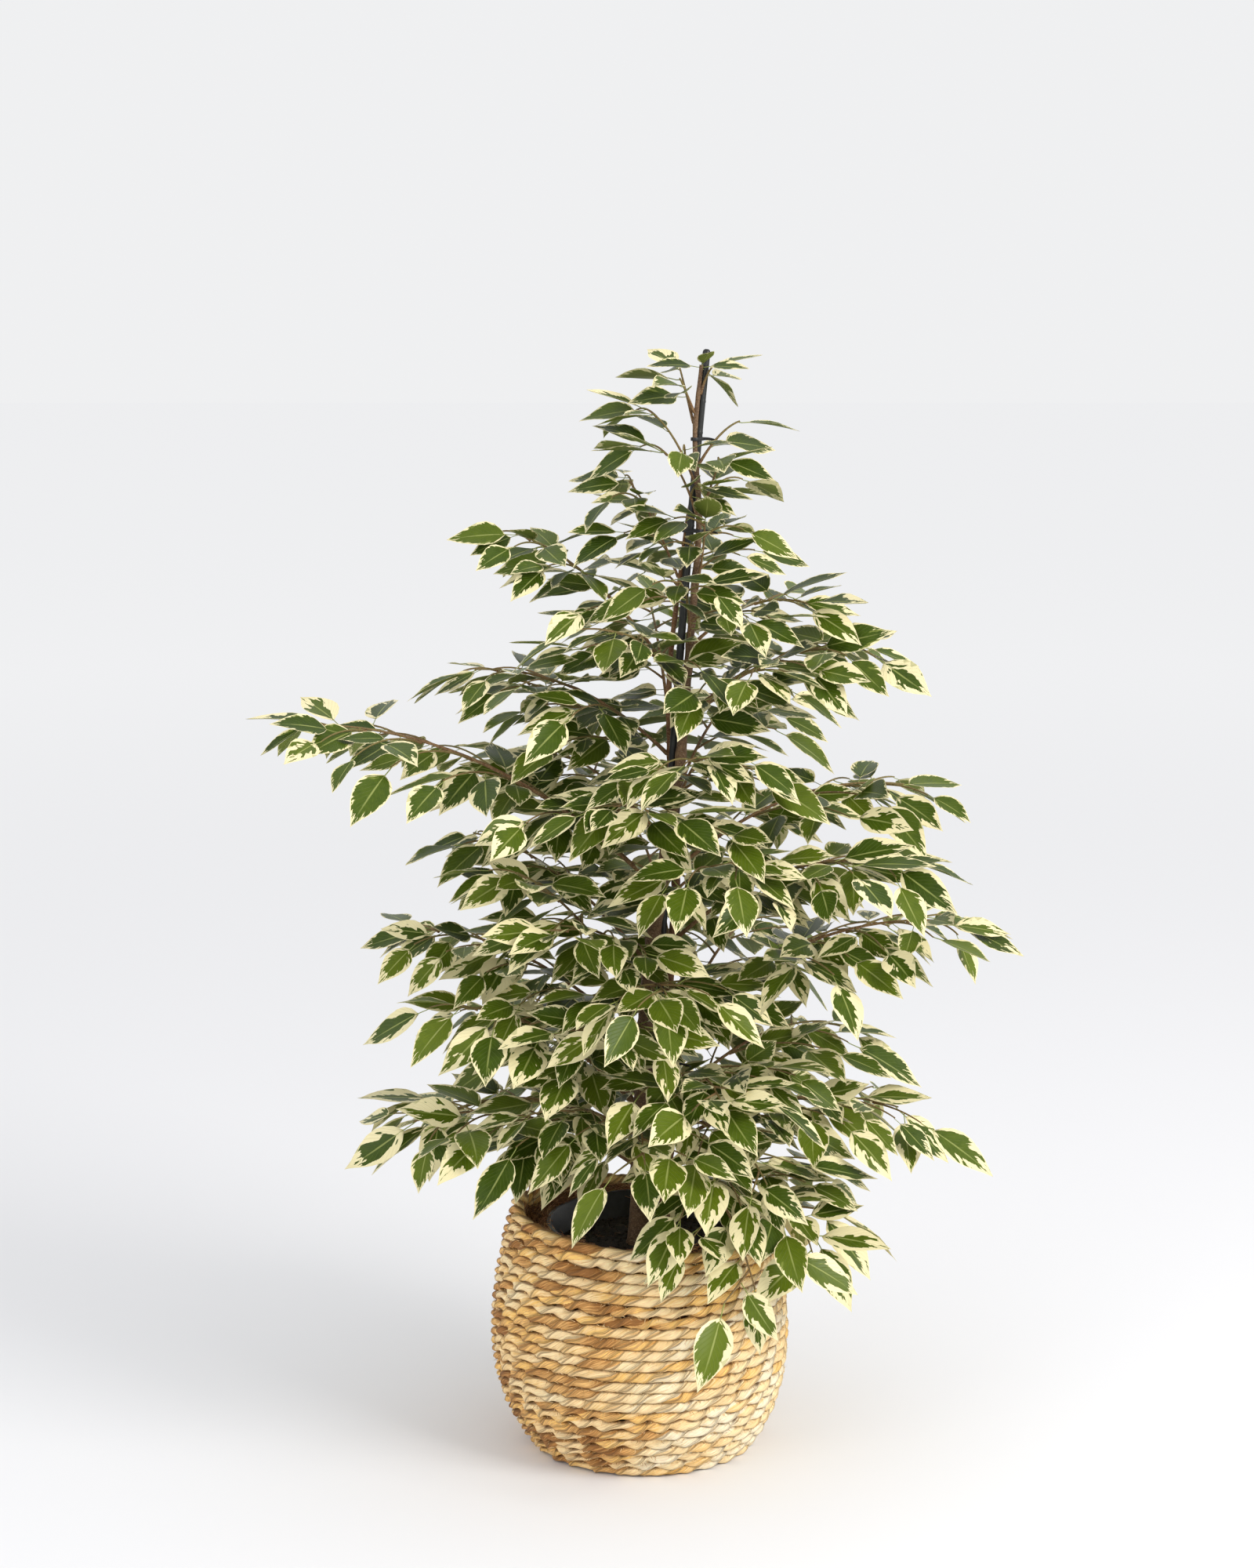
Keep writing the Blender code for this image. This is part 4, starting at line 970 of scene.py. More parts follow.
# Branches: name, height of the fork, bearing, reach, rise of the tip, pairs of side twigs
BRANCHES = (
    ("left_1_low_front", 0.290, 193, 0.300, 0.040, 4),
    ("left_1_low_back", 0.315, 163, 0.270, -0.005, 3),
    ("left_2_front", 0.350, 206, 0.270, 0.105, 3),
    ("left_2_long", 0.415, 178, 0.290, 0.095, 4),
    ("left_3_front", 0.455, 210, 0.215, 0.130, 3),
    ("left_3_level", 0.500, 172, 0.245, 0.105, 3),
    ("left_4_longest", 0.575, 188, 0.408, 0.150, 5),
    ("left_5_back", 0.665, 160, 0.220, 0.090, 3),
    ("left_6_level", 0.705, 186, 0.250, 0.070, 3),
    ("left_7_upper", 0.790, 177, 0.215, 0.115, 3),
    ("right_1_low", 0.270, 332, 0.235, -0.050, 3),
    ("right_1_back", 0.310, 8, 0.305, 0.010, 4),
    ("right_2_back", 0.355, 28, 0.255, 0.040, 3),
    ("right_3_long", 0.430, 346, 0.350, 0.105, 5),
    ("right_4_front", 0.520, 333, 0.300, 0.080, 4),
    ("right_5_level", 0.590, 12, 0.300, 0.060, 4),
    ("right_6_upper", 0.745, 354, 0.240, 0.052, 3),
    ("right_7_top", 0.815, 6, 0.160, 0.025, 3),
    ("front_1_hanging", 0.280, 300, 0.245, -0.085, 3),
    ("front_1_left", 0.310, 228, 0.185, 0.040, 2),
    ("front_1_right", 0.325, 312, 0.215, -0.040, 3),
    ("front_2_low", 0.335, 266, 0.225, -0.015, 3),
    ("front_2_right", 0.375, 292, 0.215, 0.000, 3),
    ("front_2_left", 0.415, 240, 0.210, 0.025, 3),
    ("front_3_middle", 0.450, 272, 0.200, 0.030, 3),
    ("front_3_left", 0.490, 232, 0.215, 0.045, 3),
    ("front_4_right", 0.550, 300, 0.205, 0.050, 3),
    ("front_4_left", 0.610, 250, 0.205, 0.050, 3),
    ("front_5_right", 0.650, 285, 0.190, 0.055, 3),
    ("front_6_right", 0.730, 312, 0.180, 0.055, 2),
    ("front_6_left", 0.760, 236, 0.165, 0.060, 2),
    ("front_7_middle", 0.815, 268, 0.125, 0.050, 2),
    ("back_1_low", 0.300, 95, 0.280, 0.020, 4),
    ("back_1_left", 0.345, 130, 0.265, 0.060, 3),
    ("back_2_right", 0.415, 62, 0.280, 0.070, 3),
    ("back_3_middle", 0.505, 100, 0.275, 0.085, 4),
    ("back_4_left", 0.595, 135, 0.235, 0.080, 3),
    ("back_5_right", 0.650, 65, 0.240, 0.075, 3),
    ("back_6_middle", 0.745, 100, 0.200, 0.080, 3),
    ("back_7_middle", 0.840, 75, 0.125, 0.060, 2),
    ("top_1_left", 0.880, 158, 0.115, 0.075, 2),
    ("top_1_front", 0.870, 300, 0.090, 0.050, 2),
    ("top_2_left", 0.942, 212, 0.088, 0.045, 1),
    ("top_2_right", 0.945, 330, 0.085, 0.030, 1),
    ("top_3_left", 0.973, 205, 0.100, 0.050, 1),
    ("top_3_right", 0.990, 348, 0.098, 0.025, 0),
    ("top_4_back", 1.030, 140, 0.080, 0.035, 0),
    ("top_5_left", 1.040, 200, 0.077, 0.016, 0),
    ("top_5_tip", 1.058, 352, 0.066, 0.010, 0),
)


def wood_tree(name, finish):
    """Round wood along lines, as thick as they say, with a knobbly skin."""
    tree, source, (sides, size, depth) = geometry_tree(name, "Sides", "Knobble Size", "Knobble Depth")
    lines = add(tree, "GeometryNodeMeshToCurve", {"Mesh": source}).outputs[0]
    thickness = read(tree, "thickness")
    wood = add(tree, "GeometryNodeCurveToMesh", {
        "Curve": lines, "Profile Curve": circle(tree, sides), "Scale": thickness, "Fill Caps": True})
    knobble = noise(tree, position(tree), size.calc("POWER", -1.0), 3.0, 0.6)
    lift = (knobble - 0.5) * depth * thickness
    normal = out(add(tree, "GeometryNodeInputNormal"))
    finish_tree(tree, moved(tree, wood.outputs[0], vector(tree, "SCALE", normal, lift)), finish)
    return tree


def wood_source(name, lines):
    """Lines of (point, thickness), with how far each point is along its line."""
    points, edges, thickness, run, pick = [], [], [], [], []
    for number, line in enumerate(lines):
        travelled = 0.0
        for k, (point, thick) in enumerate(line):
            if k:
                travelled += (point - line[k - 1][0]).length
                edges.append((len(points) - 1, len(points)))
            points.append(point)
            thickness.append(thick)
            run.append(travelled)
            pick.append((number * 0.618) % 1.0)
    return mesh_of(name, points, edges, attributes=(
        ("thickness", "FLOAT", thickness), ("run", "FLOAT", run), ("wood_pick", "FLOAT", pick)))


def bark_material(name, stops, pore_colour, green_tips=False):
    """Bark: streaks along the wood, pale pores across it, and paler flakes."""
    finish, tree, shader = new_material(name)
    place = object_place(tree)
    run, pick = attribute(tree, "run"), attribute(tree, "wood_pick")
    thickness = attribute(tree, "thickness")
    streaks = noise(tree, place, 380.0, 4.0, 0.65, 1.2)
    patches = noise(tree, place, 60.0, 3.0, 0.6)
    colour = ramp(tree, streaks * 0.65 + patches * 0.45, stops)
    squeezed = add(tree, "ShaderNodeMapping", {"Vector": place, "Scale": (420.0, 420.0, 1100.0)})
    pores = noise(tree, out(squeezed), 1.0, 1.0, 0.4).rise(0.63, 0.70)
    colour = blend_colours(tree, pores * 0.75, colour, pore_colour)
    if green_tips:
        young = thickness.rise(0.0014, 0.0010) * (pick * 0.5 + 0.3)
        colour = blend_colours(tree, young, colour, (0.20, 0.17, 0.045))
    feed(tree, shader.inputs["Base Color"], colour)
    feed(tree, shader.inputs["Roughness"], patches * 0.5 + 0.45)
    rings = (run * (math.tau / 0.0042)).calc("SINE") * 0.15
    bump(tree, streaks + pores * 0.5 + rings, 0.0007, shader)
    return finish


def stem_points(line, radius, top):
    """A stem as points with their thickness, swollen at its forks and its foot."""
    count = int((top - ROOTED_AT) / STEM_STEP)
    found = []
    for k in range(count + 1):
        height = ROOTED_AT + (top - ROOTED_AT) * k / count
        thick = radius(height)
        share, reach = FORK_SWELLING
        near = [math.exp(-((height - branch[1]) / reach) ** 2) for branch in BRANCHES]
        flare = ROOT_FLARE[0] * math.exp(-max(height - SOIL_TOP, 0) / ROOT_FLARE[1])
        thick *= 1 + share * max(near) + flare
        found.append((line(height), thick))
    return found


def stake_points():
    """The stake, with a ring moulded round it every so often and a rounded top."""
    found = []
    height = ROOTED_AT
    while height < STAKE_TOP - 0.003:
        on_ring = (height - ROOTED_AT) % STAKE_RING_EVERY >= STAKE_RING_EVERY - STAKE_RING_WIDTH
        found.append((stake_line(height), STAKE_RADIUS * (STAKE_RING_WIDER if on_ring else 1.0)))
        height += STEM_STEP / 2
    found += [(stake_line(STAKE_TOP - drop), STAKE_RADIUS * wide) for drop, wide in STAKE_CROWN]
    return found


bark = bark_material("main_bark", MAIN_BARK_COLOURS, (0.42, 0.30, 0.19))
red_bark = bark_material("red_bark", RED_BARK_COLOURS, (0.48, 0.33, 0.20))
for name, line, radius, top in STANDING[:2]:
    finish = bark if name == "stem_main" else red_bark
    stem = grown_from(wood_source(name + "_line", [stem_points(line, radius, top)]),
                      name + "_bark", wood_tree(name + "_bark", finish),
                      sides=18.0, knobble_size=0.009, knobble_depth=0.30)
    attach(stem, "root")
    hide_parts(name)
    "stem_bark" if name == "stem_main" else "young_bark"

stake_finish = plastic_material("stake_plastic", (0.010, 0.011, 0.010), 0.40)
stake = grown_from(wood_source("stake_line", [stake_points()]), "stake_rod",
                   wood_tree("stake_rod", stake_finish),
                   sides=20.0, knobble_size=0.02, knobble_depth=0.0)
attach(stake, "root")
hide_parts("stake")


# Ties
# Black plastic straps, drawn tight round the stake and both stems, with the tail left on each.

TIE_HEIGHTS = (0.392, 0.685, 0.925, 1.014)
TIE_WIDTH = 0.0032
TIE_THICKNESS = 0.0010
TIE_TAIL = 0.014
TAIL_RADII = (0.0014, 0.0011, 0.0008)
TAIL_STEPS = 10
TAIL_TWIST = 0.9              # radians
TIE_CLEAR = 0.0009            # between a tie and what it holds
TIE_ROOM = 0.004              # kept free of twigs round a tie
TIE_FLATS = 10
FINE_FLATS = 48
TIE_SECTION = ((-0.5, -0.35), (-0.35, -0.5), (0.35, -0.5), (0.5, -0.35),
               (0.5, 0.35), (0.35, 0.5), (-0.35, 0.5), (-0.5, 0.35))


def tie_corner(height, corner, outward=0.0, flats=TIE_FLATS):
    """A corner of the tie's loop, where the flats that touch what it holds meet."""
    held = [(line(height), radius(height)) for _, line, radius, top in STANDING
            if top > height + 0.01]
    reach = []
    step = math.tau / flats
    for k in (corner, corner + 1):
        look = Vector((math.cos(step * k), math.sin(step * k), 0))
        touch = max(centre.dot(look) + radius for centre, radius in held)
        reach.append(touch + TIE_CLEAR + outward)
    along = (reach[1] - reach[0] * math.cos(step)) / math.sin(step)
    turn = step * corner
    look = Vector((math.cos(turn), math.sin(turn), 0))
    side = Vector((-math.sin(turn), math.cos(turn), 0))
    return look * reach[0] + side * along + UP * height


def tie_tail(height):
    """The cut end of a tie, which sticks out to the right."""
    flat = [tie_corner(height, corner, TIE_THICKNESS * 0.4) for corner in (-1, 0)]
    root = flat[0].lerp(flat[1], 0.4)
    middle = root + Vector((TIE_TAIL * 0.5, -0.001, 0.0005))
    return [root, middle, root + Vector((TIE_TAIL, -0.003, -0.002))]


def strap_loop(height):
    """The closed band: a rounded flat section carried round the stems."""
    points, faces = [], []
    sides = len(TIE_SECTION)
    for k in range(FINE_FLATS):
        near = tie_corner(height, k, 0.0, FINE_FLATS)
        far = tie_corner(height, k, TIE_THICKNESS, FINE_FLATS)
        points += [near.lerp(far, thick + 0.5) + UP * TIE_WIDTH * wide for thick, wide in TIE_SECTION]
        ahead = (k + 1) % FINE_FLATS
        for side in range(sides):
            after = (side + 1) % sides
            faces.append((k * sides + side, ahead * sides + side,
                          ahead * sides + after, k * sides + after))
    return points, faces


def strap_tail(height):
    """The flat tail, a little twisted, narrowing to a snipped end."""
    path = tie_tail(height)
    points, faces = [], []
    sides = len(TIE_SECTION)
    for k in range(TAIL_STEPS + 1):
        share = k / TAIL_STEPS
        centre = path[0].lerp(path[1], share).lerp(path[1].lerp(path[2], share), share)
        along = (path[1] - path[0]).lerp(path[2] - path[1], share).normalized()
        across = along.cross(UP).normalized()
        twist = Matrix.Rotation(TAIL_TWIST * share, 3, along)
        raised, flat = twist @ UP, twist @ across
        width = TIE_WIDTH * (0.95 - 0.35 * share)
        points += [centre + flat * thick * TIE_THICKNESS + raised * wide * width
                   for thick, wide in TIE_SECTION]
    for low in range(0, TAIL_STEPS * sides, sides):
        high = low + sides
        for side in range(sides):
            after = (side + 1) % sides
            faces.append((low + side, low + after, high + after, high + side))
    faces.append(tuple(reversed(range(sides))))
    faces.append(tuple(TAIL_STEPS * sides + side for side in range(sides)))
    return points, faces


def joined(shapes):
    """Several shapes as one list of points and one of faces."""
    points, faces = [], []
    for more_points, more_faces in shapes:
        first = len(points)
        points += more_points
        faces += [tuple(first + corner for corner in face) for face in more_faces]
    return points, faces


def outward(piece):
    """Turn every face of a closed piece to look outwards."""
    work = bmesh.new()
    work.from_mesh(piece.data)
    bmesh.ops.recalc_face_normals(work, faces=work.faces[:])
    work.to_mesh(piece.data)
    work.free()


strap_points, strap_faces = joined(
    [shape(height) for height in TIE_HEIGHTS for shape in (strap_loop, strap_tail)])
ties = mesh_of("ties", strap_points, faces=strap_faces)
outward(ties)
ties.data.materials.append(plastic_material("tie_plastic", (0.010, 0.010, 0.011), 0.5))
for face in ties.data.polygons:
    face.use_smooth = True
ties.data.set_sharp_from_angle(angle=math.radians(50))
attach(ties, "root")
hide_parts(*["tie_%d" % (number + 1) for number in range(len(TIE_HEIGHTS))])


# Twigs
# Every branch leaves a stem as one arching twig with side twigs on both hands. All are grown
# before the leaves, round the stems, the ties and the basket.

GAP = 0.0003                  # room left between pieces that touch
GUARD = 0.0011                # room kept round a blade or a twig
SOIL_ROOM = 0.010             # and over the soil
TURNS = (0, 14, -14, 28, -28, 45, -45)      # degrees by which growth is turned out of the way
BASKET_SEGMENTS = 20
LAST_LEAF = 0.055             # how far the leaf at a branch's tip reaches past its twig
LAST_DROP = 0.3
MAIN_STEPS = 4                # straight lengths that a branch's main twig is made of
MAIN_TWIG_LEAST = 0.0016      # radius at the fork of the shortest branch
MAIN_TWIG_REACH = 0.0045      # and how much it grows with the branch's reach
MAIN_TWIG_TIP = 0.0011
ARCH_OUT = 0.46               # where a branch's arch is highest, as a share of its reach
ARCH_LEAST = 0.012            # how far the arch climbs, with its reach and its rise
ARCH_REACH = 0.20
ARCH_RISE = 0.55
SIDE_STEPS = 2
SIDE_TWIG_RADII = (0.0014, 0.0010)
SIDE_SLANT = 48               # degrees from the main twig
SIDE_LIFT = 0.13
SIDE_BEND = 0.55              # where a side twig starts to sag
SIDE_SAG = (0.30, 0.65)
SIDE_SHARES = (0.22, 0.90)    # the first and last side twig, along the main one
SIDE_LENGTH = (0.034, 0.39)   # least length, and the share of the branch's reach that it adds
SIDE_SHIFT = 0.03             # how unevenly they are set
SIDE_SWING = 8
SIDE_VARIES = (0.87, 1.17)
TWIG_SLIMMER = 0.78           # of the solid twig
TWIG_ROOT = (0.004, 1.25)     # how far a twig runs into its stem, and how much wider it is there
TWIG_FLARE = (0.25, 0.006)    # share of the radius, and how far up it reaches
TWIG_END = 0.86
SIDES_OF_PLANT = ("left", "right", "front", "back", "top")
TWIG_COLOURS = (
    (0.30, (0.070, 0.032, 0.012)),
    (0.50, (0.175, 0.088, 0.034)),
    (0.72, (0.33, 0.20, 0.085)),
)


def tube(path, radii, sides, flat_root=None):
    """A round closed tube along a path, with its own radius at each point."""
    points = []
    faces = []
    for step, (centre, radius) in enumerate(zip(path, radii)):
        before = path[max(step - 1, 0)]
        after = path[min(step + 1, len(path) - 1)]
        along = (after - before).normalized()
        if step == 0 and flat_root:
            along = flat_root
        across = along.cross(UP)
        if across.length < 0.3:
            across = along.cross(Vector((0, 1, 0)))
        across.normalize()
        over = across.cross(along)
        for side in range(sides):
            turn = math.tau * side / sides
            points.append(centre + (across * math.cos(turn) + over * math.sin(turn)) * radius)
    for step in range(len(path) - 1):
        for side in range(sides):
            ahead = (side + 1) % sides
            low = step * sides
            high = low + sides
            faces.append((low + side, high + side, high + ahead))
            faces.append((low + side, high + ahead, low + ahead))
    last = (len(path) - 1) * sides
    faces.append(tuple(range(sides)))
    faces.append(tuple(last + side for side in reversed(range(sides))))
    return points, faces


class Shoot:
    """A twig as one smooth bend from its foot to its tip."""

    def __init__(self, foot, bend, tip, thick, thin, steps, root_way=None):
        self.foot = foot
        self.bend = bend
        self.tip = tip
        self.thick = thick
        self.thin = thin
        self.steps = steps
        self.root_way = root_way

    def point(self, share):
        """A point of the smooth bend, from 0 at the foot to 1 at the tip."""
        early = self.foot.lerp(self.bend, share)
        late = self.bend.lerp(self.tip, share)
        return early.lerp(late, share)

    def seat(self, share):
        """The middle of the twig's solid, which runs straight from step to step."""
        step = min(int(share * self.steps), self.steps - 1)
        start = self.point(step / self.steps)
        end = self.point((step + 1) / self.steps)
        return start.lerp(end, share * self.steps - step)

    def heading(self, share):
        """The way the twig runs there."""
        return (self.bend - self.foot).lerp(self.tip - self.bend, share).normalized()

    def radius(self, share):
        """Its radius there."""
        return self.thick + (self.thin - self.thick) * share

    def length(self):
        """Its length along the bend, near enough."""
        straight = (self.tip - self.foot).length
        return ((self.bend - self.foot).length + (self.tip - self.bend).length + straight) / 2

    def shape(self, sides=3, room=0.0):
        """The twig as a tube. room thickens it, but not at its foot, where it meets its stem."""
        shares = [step / self.steps for step in range(self.steps + 1)]
        path = [self.point(share) for share in shares]
        radii = [self.radius(share) + room * min(8 * share, 1) for share in shares]
        return tube(path, radii, sides, flat_root=self.root_way)


def main_shoot(fork, bearing, reach, rise):
    """The main twig of a branch: it leaves the nearer stem, climbs and arches over."""
    turn = math.radians(bearing)
    outward = Vector((math.cos(turn), math.sin(turn), 0))
    stems = [(main_line, main_radius)]
    if fork < SECOND_TOP - 0.03:
        stems.append((second_line, second_radius))
    axis = stake_line(fork)
    line, radius = max(stems, key=lambda stem: (stem[0](fork) - axis).dot(outward))
    foot = line(fork) + outward * (radius(fork) + 2 * GAP)
    reach -= LAST_LEAF
    tip = axis + outward * reach + UP * (rise + LAST_LEAF * LAST_DROP)
    climbs = ARCH_LEAST + ARCH_REACH * reach + ARCH_RISE * max(rise, 0)
    bend = foot + outward * reach * ARCH_OUT + UP * climbs
    thick = MAIN_TWIG_LEAST + MAIN_TWIG_REACH * reach
    return Shoot(foot, bend, tip, thick, MAIN_TWIG_TIP, MAIN_STEPS, root_way=outward)


def side_shoot(parent, share, side, length, turn, sag):
    """A side twig: it forks off at a slant, nearly level, and sags towards its tip."""
    along = parent.heading(share)
    level = along.cross(UP).normalized()
    slant = math.radians(SIDE_SLANT + turn)
    way = along * math.cos(slant) + level * side * math.sin(slant)
    way = (way + UP * SIDE_LIFT).normalized()
    foot = parent.seat(share)
    bend = foot + way * length * SIDE_BEND
    flat = Vector((way.x, way.y, 0)).normalized()
    tip = bend + (flat + UP * (SIDE_LIFT - sag)).normalized() * length * (1 - SIDE_BEND)
    return Shoot(foot, bend, tip, *SIDE_TWIG_RADII, SIDE_STEPS)


class Crowd:
    """What already stands in place, so that new growth is kept clear of it."""

    def __init__(self):
        self.members = []

    def add(self, owner, points, faces):
        """Note a shape as standing in place."""
        middle = sum(points, Vector()) / len(points)
        reach = max((point - middle).length for point in points)
        self.members.append((owner, middle, reach, BVHTree.FromPolygons(points, faces)))

    def blocks(self, points, faces, ignore=None):
        """Whether a shape would meet something, leaving out what one owner has in place."""
        middle = sum(points, Vector()) / len(points)
        reach = max((point - middle).length for point in points)
        tree = BVHTree.FromPolygons(points, faces)
        for owner, other, size, other_tree in self.members:
            near = (middle - other).length < reach + size
            if near and owner != ignore and tree.overlap(other_tree):
                return True
        return False


def placed(matrix, shape):
    """A shape moved to its place."""
    points, faces = shape
    return [matrix @ point for point in points], faces


def grow_shoots(number, branch, crowd):
    """The twigs of one branch, each turned aside where it would meet what is in place."""
    name, fork, bearing, reach, rise, pairs = branch
    draw = Random(1000 + number)
    shoots = []
    for turn in TURNS:
        main = main_shoot(fork, bearing + turn * 0.5, reach, rise)
        if not crowd.blocks(*main.shape(4, GUARD)):
            shoots.append(main)
            break
    if not shoots:
        return []
    count = 2 * pairs
    first, last = SIDE_SHARES
    for k in range(count):
        share = first + (last - first) * k / (count - 1) + draw.uniform(-SIDE_SHIFT, SIDE_SHIFT)
        length = SIDE_LENGTH[0] + SIDE_LENGTH[1] * reach * (1 + SIDE_SHIFT - share)
        length *= draw.uniform(*SIDE_VARIES)
        sag = draw.uniform(*SIDE_SAG)
        first_turn = draw.uniform(-SIDE_SWING, SIDE_SWING)
        for turn in TURNS[:5]:
            side = side_shoot(main, share, 1 if k % 2 else -1, length, first_turn + turn, sag)
            if not crowd.blocks(*side.shape(4, GUARD), ignore=name):
                shoots.append(side)
                crowd.add(name, *side.shape(4, GUARD))
                break
    crowd.add(name, *main.shape(4, GUARD))
    return shoots


def standing_shape(centre_line, radius, top, rings, sides):
    """A stem or the stake as a tube, from its foot in the soil to its top."""
    heights = [ROOTED_AT + (top - ROOTED_AT) * k / rings for k in range(rings + 1)]
    path = [centre_line(height) for height in heights]
    return tube(path, [radius(height) for height in heights], sides)


def basket_guard():
    """The basket and pot as one filled shape, for keeping leaves out of them."""
    room = 2 * GUARD
    steps = 8
    heights = [BASKET_RIM_HEIGHT * k / steps for k in range(steps + 1)]
    profile = [(0, 0)] + [(basket_radius(height) + room, height) for height in heights]
    profile += [(BASKET_RIM_RADIUS + room, BASKET_RIM_HEIGHT + room)]
    profile += [(POT_TOP_RADIUS, BASKET_RIM_HEIGHT + room)]
    profile += [(POT_TOP_RADIUS - SOIL_ROOM, SOIL_TOP + SOIL_ROOM), (0, SOIL_TOP + SOIL_ROOM)]
    return turned(profile, BASKET_SEGMENTS, basket_place)


def obstacles():
    """What the branches grow round: the stems, the stake, its ties and the basket."""
    crowd = Crowd()
    for name, line, radius, top in STANDING:
        crowd.add(name, *standing_shape(line, lambda height, r=radius: r(height) + GAP, top, 24, 6))
    crowd.add("basket", *basket_guard())
    for height in TIE_HEIGHTS:
        ends = [stake_line(height) - UP * TIE_WIDTH, stake_line(height) + UP * TIE_WIDTH]
        crowd.add("tie", *tube(ends, [STAKE_RADIUS + 2 * main_radius(height) + TIE_ROOM] * 2, 8))
        crowd.add("tie", *tube(tie_tail(height), [radius + GUARD for radius in TAIL_RADII], 4))
    return crowd


def twig_line(shoot, steps):
    """The fine line of a twig, thicker at its foot. A main one starts inside its stem."""
    found = []
    if shoot.root_way:
        sunk, wider = TWIG_ROOT
        found.append((shoot.foot - shoot.root_way * sunk, shoot.radius(0) * TWIG_SLIMMER * wider))
    for k in range(steps + 1):
        share = k / steps
        foot = 1 + TWIG_FLARE[0] * math.exp(-share * shoot.length() / TWIG_FLARE[1])
        thick = shoot.radius(share) * TWIG_SLIMMER * foot
        found.append((shoot.point(share), thick * (TWIG_END if k == steps else 1.0)))
    return found


crowd = obstacles()
grown = [grow_shoots(number, branch, crowd) for number, branch in enumerate(BRANCHES)]
twig_finish = bark_material("twig_bark", TWIG_COLOURS, (0.45, 0.34, 0.19), green_tips=True)
for side in SIDES_OF_PLANT:
    lines, nodes = [], []
    for branch, shoots in zip(BRANCHES, grown):
        if branch[0].startswith(side):
            nodes.append("spray_" + branch[0])
            lines += [twig_line(shoot, 20 if shoot.root_way else 9) for shoot in shoots]
    twigs = grown_from(wood_source("twig_lines_" + side, lines), "twigs_" + side,
                       wood_tree("twigs_" + side, twig_finish), sides=8.0, knobble_size=0.004,
                       knobble_depth=0.35)
    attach(twigs, "root")
    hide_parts(*nodes)


# Leaves
# Thin glossy blades on short stalks, set alternately along each twig and hanging from it:
# broad, drawn out to a point, folded along the midrib, green with a cream edge.

SOLID_TWIGS = 3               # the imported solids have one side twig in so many
SOLID_LEAVES = 5              # and one leaf in so many along a main twig
LEAF_LENGTH = (0.043, 0.069)  # shortest and longest blade
LEAF_GROWN = (1.12, 0.92)     # how much longer they are on the lowest branches, and on the highest
LEAF_WIDTH = 0.50             # of its length
LEAF_WIDEST = 0.30            # where along its length it is widest
LEAF_SHOULDER = (0.76, 0.66)  # share of its half width, and where along its length
LEAF_FOLD = 0.12
LEAF_THICKNESS = 0.0008
PETIOLE_LENGTH = 0.012
PETIOLE_WIDTH = 0.0010
PETIOLE_ROOT = 0.6            # share of its width in the twig
PETIOLE_END = 1.6             # and at the blade
PETIOLE_SUNK = 0.0001
BLADE_OVERLAP = 0.002
LEAF_SPACING = 0.018          # along a twig, on alternate sides, wider towards the top
LEAF_THINNING = 0.6
LEAF_MISSING = 0.10           # share of the leaves that have dropped
LEAF_SLANT = (36, 74)         # degrees from the twig
TIP_SLANT = (-12, 12)
LEAF_FOLLOWS = 0.4            # share of the twig's own slope that a leaf keeps
LEAF_ROLL = 30
LEAF_TO_LIGHT = 0.45          # how far faces turn to the light, which comes from the front
LEAF_DROOP = (0.3, 1.4)       # share of the branch's droop that a leaf takes
LEAF_START = (0.022, 0.016)   # bare length at the foot of a main twig and of a side twig
TIP_INSET = 0.0035            # how far before the twig's end its last leaf is seated
LEAF_LIFTS = (0.0, 0.45)
DROOP_LOW = 0.80              # how steeply leaves hang on the lowest branches
DROOP_HIGH = 0.22             # and on the highest
INNER_REACH = 0.165           # how far from the stake the crown is filled in with more leaves
INNER_DRAW = 50
INNER_SHARE = 2               # one more leaf for so many
STEM_TIP_LEAVES = (           # at the top of the main stem: which way, and how long
    ((-1.0, -0.35, 0.10), 0.046),
    ((0.9, -0.5, 0.05), 0.042),
    ((0.5, 0.4, -0.45), 0.052),
    ((0.2, -0.8, 0.45), 0.034),
)
BLADE_OUTLINE = (             # along the blade, and its half width there
    (0.0, 0.02), (0.09, 0.52), (0.20, 0.84), (0.33, 0.99), (0.48, 0.97),
    (0.63, 0.78), (0.77, 0.50), (0.87, 0.25), (0.94, 0.10), (1.0, 0.0),
)
BLADE_ACROSS = (-1.0, -0.55, 0.0, 0.55, 1.0)
BLADE_HALF_THICKNESS = 0.006  # of the blade's length
BLADE_RIPPLES = 9.5           # radians along the blade
STALK = 0.22                  # the petiole's length, as a share of the blade's
STALK_RINGS = ((-0.002, 0.010), (0.08, 0.008), (STALK + 0.03, 0.009))
STALK_SIDES = 4
STALK_SAG = 0.012
LEAF_FORMS = 8
LEAF_GREENS = (
    (0.15, (0.018, 0.037, 0.001)),
    (0.50, (0.053, 0.090, 0.003)),
    (0.95, (0.120, 0.165, 0.008)),
)
SAGE = (0.230, 0.270, 0.050)
VEIN_GREEN = (0.26, 0.32, 0.08)
CREAM = (0.93, 0.83, 0.49)
MIDRIB_GREEN = (0.40, 0.44, 0.13)
UNDERSIDE = (0.25, 0.29, 0.060)


def leaf_frame(foot, heading, roll):
    """A matrix with the leaf's length along Y and its face, which seeks the light, towards Z."""
    along = heading.normalized()
    light = UP - Vector((0, 1, 0)) * LEAF_TO_LIGHT * (1 - max(along.y, 0))
    face = (light - along * light.dot(along)).normalized()
    across = along.cross(face)
    turn = Matrix((across, along, face)).transposed()
    turn = turn @ Matrix.Rotation(roll, 3, "Y")
    return Matrix.Translation(foot) @ turn.to_4x4()


